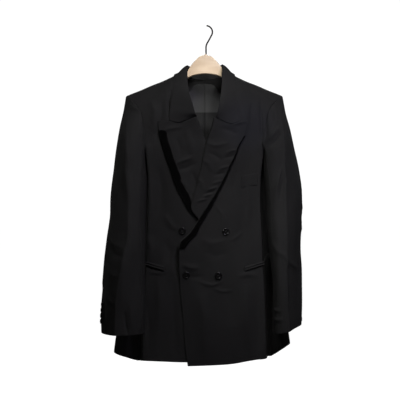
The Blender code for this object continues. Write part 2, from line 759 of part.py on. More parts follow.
def collar_fall_grid():
    """The whole fall, from one gorge round the back of the neck to the other."""
    count = 7
    half = {}
    for side in (-1, 1):
        rows = [fall_row(k, side, count) for k in range(len(COLLAR["side"]))] + [gorge_row(side, count)]
        rows = np.array(rows)
        rows[:, :, 0] *= side
        half[side] = rows
    outer = np.concatenate([half[-1][::-1], half[1][1:]])
    along = np.gradient(outer, axis=0)
    across = np.gradient(outer, axis=1)
    normals = unit(np.cross(along, across))
    if normals[len(outer) // 2, -1, 1] < 0:
        normals = -normals
    flat = np.array([0, -1, 0])
    for end in (0, 1, -1, -2):
        normals[end] = flat
    return outer, outer - normals * WALL


def collar_stand_grid():
    """The stand inside the fold, a crescent that dies away at each gorge."""
    half = {}
    for side in (-1, 1):
        over = side > 0
        rows = []
        for k in range(len(COLLAR["side"])):
            fold = np.array(
                [COLLAR["fold_x" if over else "fold_under"][k], COLLAR["fold_y"][k], COLLAR["fold_z"][k]]
            )
            x, z = COLLAR["neck_x" if over else "neck_under"][k], COLLAR["neck_z"][k]
            y = back_y(x, z) if COLLAR["side"][k] > 0 else front_y(x, z, over)
            neck = np.array([x, y, z])
            run = unit(neck - fold)
            first, last = fold + run * 3.0, neck - run * 1.4
            rows.append([first + (last - first) * part for part in (0, 0.5, 1)])
        rows = np.array(rows)
        rows[:, :, 0] *= side
        half[side] = rows
    outer = np.concatenate([half[-1][::-1], half[1][1:]])
    normals = unit(np.cross(np.gradient(outer, axis=0), np.gradient(outer, axis=1)))
    if normals[len(outer) // 2, 1, 1] < 0:
        normals = -normals
    outer = outer - normals * 1.1
    return outer, outer - normals * 1.2


LINING_X = (0.4, 3.0, 8.0, 16.0, 28.0, 42.0, 52.0, 66.0, 80.0, 96.0)


def inside_back(x, z, depth):
    """A point inside the back, a given depth in from its outer face."""
    return np.array([x, back_y(x, z) - depth, z])


def facing_bottom(x):
    return -147.0 - 34.0 * ease(abs(x), 18, 58)


def facing_grid():
    """The back-neck facing, a curved strip under the neckline."""
    outer, inner = [], []
    for x in [-x for x in LINING_X[6::-1]] + list(LINING_X[:7]):
        top = smooth(COLLAR["neck_x"][:5], COLLAR["neck_z"][:5], abs(x)) - 1.5
        zs = [top + (facing_bottom(x) - top) * part for part in (0, 0.5, 1)]
        outer.append([inside_back(x, z, WALL + 3.2) for z in zs])
        inner.append([inside_back(x, z, WALL + 4.2) for z in zs])
    return np.array(outer), np.array(inner)


def lining_grid(side):
    """Half of the back lining, with its share of the centre pleat."""
    rows = np.linspace(0, 1, 7)
    outer, inner = [], []
    for x in LINING_X:
        top = min(facing_bottom(min(x, 52)) - 0.5, ridge_z(x) - 32)
        pleat = 3.2 * (1 - ease(x, 0.0, 9.0)) * (1 if side > 0 else 0.25)
        line_o, line_i = [], []
        for part in rows:
            z = top + (-372 - top) * part
            line_o.append(inside_back(x, z, WALL + 3.2 + pleat))
            line_i.append(inside_back(x, z, WALL + 4.2 + pleat))
        outer.append(line_o)
        inner.append(line_i)
    return np.array(outer), np.array(inner)


def sleeve_pieces(side, hole):
    """The top sleeve and the under sleeve, split at the forearm seam and the hindarm seam."""
    grid = hole["grid"]
    normals = grid_normals(grid)
    inner = grid - normals * WALL
    outer = grid.copy()
    outer[0] = hole["points"] + hole["apart"]
    inner[0] = hole["inner"] + hole["apart"]
    pieces = {}
    # The top sleeve runs from the hindarm seam over the shoulder tip to the forearm seam.
    over = list(range(HINDARM, len(hole["points"]))) + list(range(1, FOREARM + 1))
    under = list(range(FOREARM, HINDARM + 1))
    for name, picked in (("top", over), ("under", under)):
        sheets = [sheet[:, picked].copy() for sheet in (outer, inner)]
        start = unit(sheets[0][:, 1] - sheets[0][:, 0]) * SEAM_GAP * 1.3
        end = unit(sheets[0][:, -2] - sheets[0][:, -1]) * SEAM_GAP * 1.3
        for sheet in sheets:
            sheet[:, 0] += start
            sheet[:, -1] += end
        pieces[name] = sheets
    return pieces


def strip_on(points_of, count, low, high, lift, wall):
    """A thin strip laid on a surface: points_of(part, offset) gives a place and the direction off the cloth."""
    outer, inner = [], []
    for part in np.linspace(0, 1, count):
        line_o, line_i = [], []
        for height in (low, high):
            place, off = points_of(part, height)
            line_o.append(place + off * (lift + wall))
            line_i.append(place + off * lift)
        outer.append(line_o)
        inner.append(line_i)
    return np.array(outer), np.array(inner)


def pocket_place(side):
    """Along a jetted pocket: it slants up across the front, turns at the pressed edge and runs on round the side."""
    over = side > 0

    def place(part, height):
        if part <= 0.5:
            share = part / 0.5
            z = POCKET_START[1] + (POCKET_CREASE - POCKET_START[1]) * share + height
            x = POCKET_START[0] + (trunk("crease_x", z) - POCKET_START[0]) * share
            point = surface_point("front", x, z, over)
            normal = surface_normal("front", x, z, over)
            if part == 0.5:
                normal = (normal + surface_normal("side", 0.05, z)) * 0.95
            return point, normal
        share = (part - 0.5) / 0.5
        z = POCKET_CREASE + (POCKET_END[1] - POCKET_CREASE) * share + height
        t = POCKET_END[0] * share
        normal = surface_normal("side", t, z)
        return surface_point("side", t, z) + normal * 1.1 * ease(share, 0, 0.4), normal

    return place


def welt_grid():
    outer, inner = [], []
    for x, top, bottom in zip(WELT["x"], WELT["top"], WELT["bottom"]):
        line_o, line_i = [], []
        for part in (0, 0.5, 1):
            z = top + (bottom - top) * part
            point = surface_point("front", x, z, True)
            line_o.append(point - np.array([0, 0.8 + 1.2, 0]))
            line_i.append(point - np.array([0, 0.8, 0]))
        outer.append(line_o)
        inner.append(line_i)
    return np.array(outer), np.array(inner)


def make_button(name, place, off, radius, height, sides, material):
    """A turned button: a dished face inside a raised rim. place is the middle of its back."""
    off = unit(np.asarray(off, float))
    helper = np.array([0, 0, 1.0]) if abs(off[2]) < 0.9 else np.array([1.0, 0, 0])
    e1 = unit(np.cross(helper, off))
    e2 = np.cross(off, e1)
    profile = ((0.72, 0.0), (1.0, 0.35), (1.0, 0.7), (0.86, 1.0), (0.66, 0.78))
    points = []
    for share, rise in profile:
        for k in range(sides):
            a = 2 * math.pi * k / sides
            points.append(place + (e1 * math.cos(a) + e2 * math.sin(a)) * radius * share + off * height * rise)
    bottom, top = len(points), len(points) + 1
    points += [place, place + off * height * 0.72]
    faces = []
    for k in range(sides):
        n = (k + 1) % sides
        faces.append((bottom, n, k))
        faces.append((top, (len(profile) - 1) * sides + k, (len(profile) - 1) * sides + n))
        for ring in range(len(profile) - 1):
            a, b = ring * sides + k, ring * sides + n
            faces += [(a, b, b + sides), (a, b + sides, a + sides)]
    return make_object(name, points, faces, material)


def make_hanger_body(material):
    """The wooden hanger: an arched head and two sloping arms with rounded sections."""
    arm = np.array([HANGER[name] for name in ("x", "top", "bottom", "depth")]).T
    stations = [(-x, t, b, d) for x, t, b, d in arm[:0:-1]] + [tuple(row) for row in arm]
    sides = 12
    points, faces = [], []
    for x, top, bottom, depth in stations:
        middle, half = (top + bottom) / 2, (top - bottom) / 2
        for k in range(sides):
            a = 2 * math.pi * k / sides
            points.append((x, depth * math.sin(a), middle + half * math.cos(a)))
    for s in range(len(stations) - 1):
        for k in range(sides):
            n = (k + 1) % sides
            a, b = s * sides + k, s * sides + n
            faces += [(a, b, b + sides), (a, b + sides, a + sides)]
    first, last = len(points), len(points) + 1
    points += [(stations[0][0] - 3, 0, stations[0][1] - 9), (stations[-1][0] + 3, 0, stations[-1][1] - 9)]
    end = (len(stations) - 1) * sides
    for k in range(sides):
        n = (k + 1) % sides
        faces += [(first, n, k), (last, end + k, end + n)]
    return make_object("hanger_body", points, faces, material, JACKET_X + HANGER_X)


def make_hook(material):
    """The wire hook: a round open bow that comes back over the middle and runs down into the hanger's head."""
    middle_z = HOOK_WIRE - HOOK_RADIUS
    path = []
    for degrees in range(115, -36, -10):
        a = math.radians(degrees)
        path.append((HOOK_RADIUS * math.cos(a), middle_z + HOOK_RADIUS * math.sin(a)))
    path += [(9.8, -33.0), (5.2, -41.0), (1.4, -48.5), (0.0, -56.0), (0.0, HANGER["top"][0] + 0.3)]
    curve = bpy.data.curves.new("hanger_hook", "CURVE")
    curve.dimensions = "3D"
    curve.bevel_depth = HOOK_WIRE * MM
    curve.bevel_resolution = 2
    curve.use_fill_caps = True
    line = curve.splines.new("POLY")
    line.points.add(len(path) - 1)
    for point, (x, z) in zip(line.points, path):
        point.co = (x * MM, 0, z * MM, 1)
    curve.materials.append(material)
    item = bpy.data.objects.new("hanger_hook", curve)
    bpy.context.scene.collection.objects.link(item)
    return item


def build():
    for item in list(bpy.data.objects):
        bpy.data.objects.remove(item)
    cloth = make_material("black_wool", (0.012, 0.011, 0.013), 0.85)
    dark = make_material("lapel_trim", (0.004, 0.004, 0.005), 0.95)
    lining = make_material("lining_satin", (0.05, 0.05, 0.055), 0.45)
    horn = make_material("button_horn", (0.01, 0.01, 0.011), 0.25)
    wood = make_material("hanger_maple", (0.72, 0.55, 0.38), 0.4)
    steel = make_material("hook_steel", (0.1, 0.09, 0.085), 0.35, 0.9)
    names = {1: "left", -1: "right"}  # sides are the wearer's
    for side, label in names.items():
        hole = armhole(side)
        for part, grids in (("front", front_grid), ("side", side_grid), ("back", back_grid)):
            outer, inner = (settle(grid, side) for grid in grids(side, hole))
            make_wall(f"{part}_{label}", outer, inner, cloth, side)
        for part, sheets in sleeve_pieces(side, hole).items():
            make_wall(f"sleeve_{part}_{label}", *sheets, cloth, side)
        make_wall(f"lapel_{label}", *lapel_grid(side), cloth, side)
        make_wall(f"lapel_trim_{label}", *trim_grid(side), dark, side)
        make_wall(f"lining_{label}", *lining_grid(side), lining, side)
        place = pocket_place(side)
        for part, low in (("upper", 0.3), ("lower", -0.3 - JET_WIDTH)):
            sheets = strip_on(place, 9, low, low + JET_WIDTH, JET_GAP, JET_WALL)
            make_wall(f"pocket_jet_{part}_{label}", *sheets, cloth, side)
        hind = hole["grid"][:, HINDARM]
        normals = grid_normals(hole["grid"])[:, HINDARM + 1]
        for k, z in enumerate(CUFF_BUTTON_Z):
            at = np.array([np.interp(-z, -hind[:, 2], hind[:, c]) for c in range(3)])
            off = np.array([np.interp(-z, -hind[:, 2], normals[:, c]) for c in range(3)])
            mirror = np.array([side, 1, 1])
            make_button(
                f"cuff_button_{label}_{k + 1}",
                (at + off * (0.8 if side > 0 else 1.2)) * mirror,
                off * mirror,
                CUFF_BUTTON_RADIUS,
                CUFF_BUTTON_HEIGHT,
                12,
                horn,
            )
    make_wall("collar_fall", *collar_fall_grid(), cloth)
    make_wall("collar_stand", *collar_stand_grid(), cloth)
    make_wall("back_neck_facing", *facing_grid(), cloth)
    make_wall("breast_welt", *welt_grid(), cloth)
    for k, (x, z, over, gap) in enumerate(zip(*(FRONT_BUTTONS[name] for name in ("x", "z", "over", "gap")))):
        y = front_y(x, z, bool(over)) - gap
        off = surface_normal("front", x, z, bool(over))
        make_button(f"front_button_{k + 1}", np.array([x, y, z]), off, BUTTON_RADIUS, BUTTON_HEIGHT, 20, horn)
    make_hanger_body(wood)
    make_hook(steel)


build()
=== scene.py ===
import json
import math

import bmesh
import bpy
import numpy as np
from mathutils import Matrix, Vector

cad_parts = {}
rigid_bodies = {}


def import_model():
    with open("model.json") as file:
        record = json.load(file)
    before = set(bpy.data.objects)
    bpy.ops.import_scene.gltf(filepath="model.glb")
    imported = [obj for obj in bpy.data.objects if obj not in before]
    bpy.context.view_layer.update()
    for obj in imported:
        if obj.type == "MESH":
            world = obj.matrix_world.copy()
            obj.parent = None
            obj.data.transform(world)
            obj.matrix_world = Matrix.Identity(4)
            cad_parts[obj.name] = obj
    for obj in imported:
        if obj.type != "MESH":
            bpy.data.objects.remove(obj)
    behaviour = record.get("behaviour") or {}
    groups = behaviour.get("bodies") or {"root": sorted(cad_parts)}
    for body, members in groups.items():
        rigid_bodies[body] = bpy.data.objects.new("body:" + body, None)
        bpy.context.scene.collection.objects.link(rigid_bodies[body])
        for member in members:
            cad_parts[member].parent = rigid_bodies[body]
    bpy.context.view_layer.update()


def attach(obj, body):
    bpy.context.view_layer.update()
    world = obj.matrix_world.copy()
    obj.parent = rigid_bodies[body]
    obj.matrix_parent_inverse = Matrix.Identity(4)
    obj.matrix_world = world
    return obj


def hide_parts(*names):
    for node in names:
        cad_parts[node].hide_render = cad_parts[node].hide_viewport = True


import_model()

# Sizes are in millimetres until a mesh is made. X is seen from the jacket's centre plane, towards the wearer's left.
# Pieces of both sides are made for positive x, and a side of -1 mirrors them.

SIDES = {1: "left", -1: "right"}  # the wearer's
MM = 0.001
WALL = 1.6
SEAM_GAP = 0.4
JACKET_X = -4.6  # the jacket's centre plane, seen from the hook
RIDGE_AT, RIDGE_Z, RIDGE_SLOPE = 80.0, -130.0, 0.448
RIDGE_DIP = 3.2  # the shoulder line is this much lower where the collar covers it
RIDGE_NORMAL = np.array([RIDGE_SLOPE, 0.0, 1.0]) / math.hypot(RIDGE_SLOPE, 1)
ROUND_DEPTH = 150.0  # how far below the shoulder ridge the fronts and back reach their full depth
ROUND_LOW, ROUND_TOP = 2.2, 0.62  # how that rounding ends and starts
CHEST_CROWN, BACK_CROWN = 11.0, 6
LAPEL_GAP, TRIM_GAP, TRIM_WALL = 1.5, 0.5, 0.9
LAPEL_OUT = LAPEL_GAP + WALL
FOLD_RADIUS = (LAPEL_OUT + WALL) / 2
LIFT_HIGH, LIFT_LOW = 7.4, 3.6  # the over-front's outer face stands this far off the under-front's
LIFT_Z, LIFT_TOP, LIFT_X = (-655, -602), (205, 290), (72, 118)  # where that changes: down, at the top and across
FRONT_SEAM_T = 0.7  # the front's side seam, past the pressed edge at 0 and before the back seam at 3
BACK_SEAM_T = 3.0
SEAM_T = SEAM_GAP / 2 / 36  # half a seam's gap, where t grows by 1 in about 36 mm
SLEEVE_CLEAR = 5.0
NESTLED, NESTLED_TO = -4.0, (0.62, 0.8)  # the wearer's right sleeve lies against the body down to here
ARM_FADE = 0.2  # the armhole's own shape is gone by this share of a sleeve
ARM_MIDDLE, ARM_REACH = (0.0, -262.0), (82, 73)  # the armhole's middle and half its depth and height
CREASE_REACH = 12  # a sleeve keeps clear of the trunk from this far in front of its pressed edge
LINING_OUT = 4.2  # how far the facing and the lining lie inside the back's wall
LINING_X = (0.4, 3.0, 8.0, 16.0, 28.0, 42.0, 52.0, 66.0, 80.0, 96.0)
LINING_END, PLEAT_DEEP, PLEAT_WIDE = -372, {1: 3.2, -1: 0.8}, 9.0
FACING_Z, FACING_DROP, FACING_X = -147.0, 34.0, (18, 58)  # the facing's lower edge falls away from the middle
FACING_WALL, STAND_WALL, WELT_WALL = 1.0, 1.2, 1.2
NARROW_CELL, JET_CELL, WELT_CELL = 2.2, 1.2, 1.5  # face widths on narrow pieces


def table(*columns):
    """Named columns of numbers. Each is given as its name and then its values."""
    return {name: np.array([float(value) for value in values]) for name, *values in map(str.split, columns)}


# The trunk's sections. The crease is the pressed edge of the front face, and the side falls back from it.
TRUNK = table(
    "z -290 -335 -420 -500 -600 -700 -800 -880",
    "crease_x 155 150 143 145 150 155 158 160",
    "crease_y -78 -84 -87 -88 -88 -88 -88 -88",
    "mid_x 161 154 144 147 156 166 178 187",
    "mid_y -45 -46 -50 -52 -54 -55 -56 -56",
    "side_x 171 168 166 171 186 203 222 234",
    "side_y 20 20 25 24 16 10 8 6",
    "back_x 158 160 163 163 166 172 181 188",
    "back_y 84 88 91 91 91 90 90 90",
)
# The hem's height round the body: t is -1 at the front edge, 0 at the pressed edge and 4 at the centre back.
HEM = table(
    "t -1 -0.5 0 1 2 3 4",
    "right -877 -877 -874 -875 -866 -864 -858",
    "left -886 -882 -868 -861 -843 -846 -858",
)
ARM_FRONT = table("x 206.5 201 193 182 169 162 158.5 155", "z -188.8 -192.5 -199 -209 -227 -248 -275 -298")
UNDERARM = table(
    "t 0 0.35 0.7 1 1.3 1.6 1.85 2.1 2.35 2.6 2.8 3",
    "z -316 -325 -331 -334.5 -336.2 -336 -333 -328 -321 -311 -302 -292",
)
FOREARM, HINDARM = len(ARM_FRONT["x"]), len(ARM_FRONT["x"]) + len(UNDERARM["t"]) - 1
ARM_BACK = table("x 158 159.5 165 175 190 201 206.5", "z -292 -268 -243 -220 -201 -192.5 -188.8")
SEAM_ROWS = (0.07, 0.15, 0.22, 0.30, 0.37, 0.455, 0.557, 0.668, 0.78, 0.892, 0.957, 1.0)
# The fronts' inner edges: neckline, then just inside the roll line, then the closing edge. Across is from the centre
# to the front's own side, so a front that passes the centre has a negative value.
INNER = table(
    "z -121.5 -131 -150 -175 -203 -233 -254 -278 -310 -345 -390 -435 -474 -511 -549 -568 -587 -607 -640 "
    "-700 -760 -820 -886",
    "over 60.5 58 55 52 46 38 32 24 10.5 0.5 -8 -20 -28 -11 -37 -57 -64 -69.5 -64 -61.5 -55.5 -51.5 -43",
    "under 60.5 58 55 50 42 33 24 14 2 -7.5 -18.6 -29 -39 -47.5 -56 -60.5 -63.5 -66 -63 -61 -55.5 -51.5 -43",
)
INNER_ROWS = (
    -121.5, -127, -143, -163, -185, -212, -240, -262, -290, -318, -345,
    -390, -435, -474, -511, -549, -587, -640, -700, -760, -820, -860,
)
# Each lapel from its gorge to its break: roll line, outer edge and the width of the dark trim along that edge.
# The wearer's left one, 1, is on the front that laps over.
LAPEL = {
    1: table(
        "z -255 -278 -301 -325 -350 -375 -400 -425 -449 -469 -480 -490 -500 -511 -522 -536 -551 -568 -585",
        "roll 25 20.5 10.8 2.6 -3.8 -8.8 -14 -20 -28.6 -32.7 -35 -32.5 -25 -16 -22.5 -31.5 -43.5 -61.5 -67",
        "outer 112 108 103.7 90 81 69 58.5 46 34 24 18.5 11.5 5.7 -1 -7.5 -15 -22.3 -39 -50.3",
        "trim 4 4 4 4.3 5 5.5 6.4 7 8 11 12 12.5 13 14 14.5 17 21 24 18",
    ),
    -1: table(
        "z -253 -276 -301 -325 -350 -380 -410 -436 -455 -470 -488 -511 -548 -585",
        "roll 20 11 1.5 -6 -12 -19.5 -26.5 -32.5 -37.5 -41.5 -46 -50.5 -58.5 -65.8",
        "outer 119.5 118.5 115 108 100.5 89 80 69 59 51.5 41.5 21 -12 -50",
        "trim 20 22 20 20 20 20 23 24 22 20 16 5 5 6",
    ),
}
LAPEL_ARCS = [math.radians(degrees) for degrees in (135, 90, 45)]  # round the roll
TRIM_TOP = {1: -297, -1: -280}  # the trim starts here, below the peak
# The top edge of each lapel: along the gorge seam, up the closed notch and out to the peak.
PEAK = {
    1: table("x 20 33 71 92 112", "z -250 -254.5 -267 -258.5 -257"),
    -1: table("x 18 34 70 90 119.5", "z -249 -253 -264 -258.5 -258"),
}
PEAK_FADE = 90  # rows this far below the gorge no longer follow the peak's edge
# The collar, station by station from the centre back over the shoulder to the gorge. side is 1 behind, -1 in front.
COLLAR = table(
    "fold_x 0 20 36 45 46.5 47 45.5 44.5 42 37.5 32.5",
    "fold_under 0 20 35 43.5 45 45 44 42.5 37.5 30.5 23.5",
    "fold_y 44 41 29 10 -8 -28 -47 -66 -84 -94 -99",
    "fold_z -108 -106.5 -103.5 -101.5 -103 -117 -137 -163 -190 -215 -240",
    "edge_x 0 27 51 69 79 81 80 80 84 88 91",
    "edge_z -158 -156 -150 -142 -134 -139 -153 -172 -196 -220 -243",
    "neck_x 0 22 41 54 60.3 60 57 54 49 43 36.5",
    "neck_under 0 22 41 54 60.3 60 57 53 45.5 38.5 31",
    "neck_z -137 -136.5 -132 -127.5 -125.2 -127.5 -139 -157 -186 -212 -237",
    "side 1 1 1 1 1 -1 -1 -1 -1 -1 -1",
)
RIDGE_STATION = 4  # this row of the collar crosses the shoulder line
COLLAR_EASE = (0, 0, 0, 0.8, 1.0, 1.9, 1.6, 0.6, 0, 0, 0)  # how much further off the body each row stands
COLLAR_CORNER_X = {1: 91.0, -1: 89.5}
FALL_POINTS, FALL_SWELL = 7, 3.5
NECK = 5  # the stations from the centre back to the shoulder
HANGER = table(
    "x 0 10 17 25 33 39 45 52 62 80 120 155 177 186",
    "top -77.5 -78.8 -82 -89.6 -97.6 -105.5 -114.5 -126.5 -132 -140 -155 -170.7 -181 -187",
    "bottom -126.5 -127 -128 -129.5 -131.5 -134 -137 -143 -151 -162 -177 -193 -202 -201",
    "depth 9 9 9 9 9 9 9 9.5 10 12 15 17 17 12",
)
HANGER_X = -1.3 - JACKET_X  # the hanger's middle, seen from the jacket's centre plane
HOOK_RADIUS, HOOK_WIRE = 17.0, 1.9
FRONT_BUTTONS = table(
    "x -56.8 54.2 -46.6 35.1",
    "z -540.9 -542.2 -653.2 -654.4",
    "over 0 1 1 1",
    "gap 0.35 0.35 0.9 1.3",
)
BUTTON_RADIUS, BUTTON_HEIGHT = 9.5, 4.0
CUFF_BUTTON_RADIUS, CUFF_BUTTON_HEIGHT = 6.8, 3.4
CUFF_BUTTON_Z = (-726, -740, -754, -768)
CUFF_BUTTON_OFF = {1: 0.8, -1: 1.2}
# A button's section from the middle of its back, round its rim and into its dish: shares of its radius and height.
BUTTON_SECTION = (
    (0.0, 0.0), (0.5, 0.0), (0.78, 0.05), (0.94, 0.2), (1.0, 0.38), (0.99, 0.55), (0.95, 0.76),
    (0.88, 0.92), (0.80, 1.0), (0.72, 0.98), (0.66, 0.9), (0.6, 0.87), (0.45, 0.86), (0.3, 0.86), (0.0, 0.86),
)
BUTTON_THREAD = ((-1, 0.8), (-0.75, 0.98), (0, 1.04), (0.75, 0.98), (1, 0.8))  # over the middle, from hole to hole
POCKET_START, POCKET_CREASE, POCKET_END = (102.0, -637.6), -624.0, (1.35, -607.0)
JET_WIDTH, JET_GAP, JET_WALL = 5.0, 0.9, 1.1
JET_EDGE, JET_PROUD, JET_SPLIT = 0.2, 1.6, 0.3  # a jet's middle stands proud of its edges
WELT = table("x 95 108 122 136", "top -399.3 -397.2 -394.9 -392.6", "bottom -430 -428 -425.6 -423.5")
# Each sleeve's rings: middle, half width across and half depth, from above the armhole to the cuff.
SLEEVE = {
    1: table(
        "z -180 -230 -290 -335 -375 -436 -500 -560 -625 -685 -745 -825",
        "x 166 171 182 191 196 204 207 207 209 211 211.5 213",
        "y -6 -12 -20 -27 -36 -52 -64 -76 -84 -90 -92 -93",
        "half_x 42 42 45 45 48 49 48 43.5 39.5 36.8 36.8 38.5",
        "half_y 72 76 80 79 75 70 66 64 62 59 56 53",
    ),
    -1: table(
        "z -180 -230 -290 -335 -375 -436 -500 -560 -625 -685 -745 -825",
        "x 166 171 179 187 190 194.5 196.5 200.5 203.5 204.5 205.5 206",
        "y -6 -12 -24 -34 -46 -70 -92 -112 -124 -130 -133 -134",
        "half_x 41 41 44 43.5 44.5 47.5 48 51 53.5 55 56.5 55.5",
        "half_y 72 76 80 79 74 68 62 56 50 44 39 36",
    ),
}
SLEEVE_ROWS = (0, 0.035, 0.085, 0.15, 0.23, 0.32, 0.42, 0.52, 0.62, 0.72, 0.82, 0.92, 1.0)
CUFF_Z = {1: (-801, -783), -1: (-796, -800)}  # inner edge and outer edge of each cuff
# Where each seam runs, in degrees round the sleeve from its outer side towards the front, at the armhole and the cuff.
SEAM_TURN = table("armhole 126.5 248 486.5", "cuff 152 341 512")
SAG_RIGHT, SAG_Z, SAG_X = 9.0, (690, 840), (176, 224)  # how far the wearer's right side hangs out at the hem, and where
# Each sleeve's pressed crease runs down its front. Outside it the cloth falls straight back to the outer edge.
PRESSED = {
    1: table(
        "z -190 -250 -335 -500 -600 -700 -800",
        "x 203 206 206 206.5 207 211 214",
        "back 0 0 0 0 0.1 0.2 0.3",
    ),
    -1: table(
        "z -215 -293 -397 -475 -540 -620 -722 -800",
        "x 207 206 199 191 191 206 221 223",
        "back 0 0 0 0.1 0.2 0.5 0.75 0.75",
    ),
}
INNER_SQUARE = {1: 2.9, -1: 2.25}  # 2 is round, and more makes the sleeve flatter in front
PRESSED_SWELL = 0.07
# Under the arm, the fronts and sides turn straight back past the pressed edge: how far, and from where to where.
TURN_BACK, TURN_NEAR, TURN_FAR, TURN_Z, TURN_HEM = (-1.5, 15, -5), (0, 7), (14, 46), (330, 470), (780, 860)

FOLD_DEPTH = 1.7
CELL = 3.0  # the cloth's faces are about this wide
EDGE_STEPS = (0.35, 0.9, 1.8)  # extra rows this far from each edge, for its rounding
EDGE_TURN, EDGE_DROP = 1.8, 0.55  # the outer face turns down this close to a free edge, and this far
EDGE_PULL, SEAM_MEET = 0.35, 0.26  # how far a free edge is drawn in, and a seamed one run on
BACK_MOST = -1.6  # the back's folds go no deeper, to stay off the lining
ALL_EDGES, NO_SEAMS = (1, 1, 1, 1), (0, 0, 0, 0)  # top, bottom, first side, last side
PIECES = {}
STITCH_LINES, THREAD_LINES = [], []


def folds(view, rows):
    """A piece's folds as seen from one side. A row has a fold's half width, height, lean and the points of its line."""
    made = []
    for row in rows.strip().splitlines():
        width, height, lean, *line = row.split()
        line = tuple(tuple(map(float, point.split(","))) for point in line)
        made.append((view, float(width), float(height), float(lean), line))
    return tuple(made)


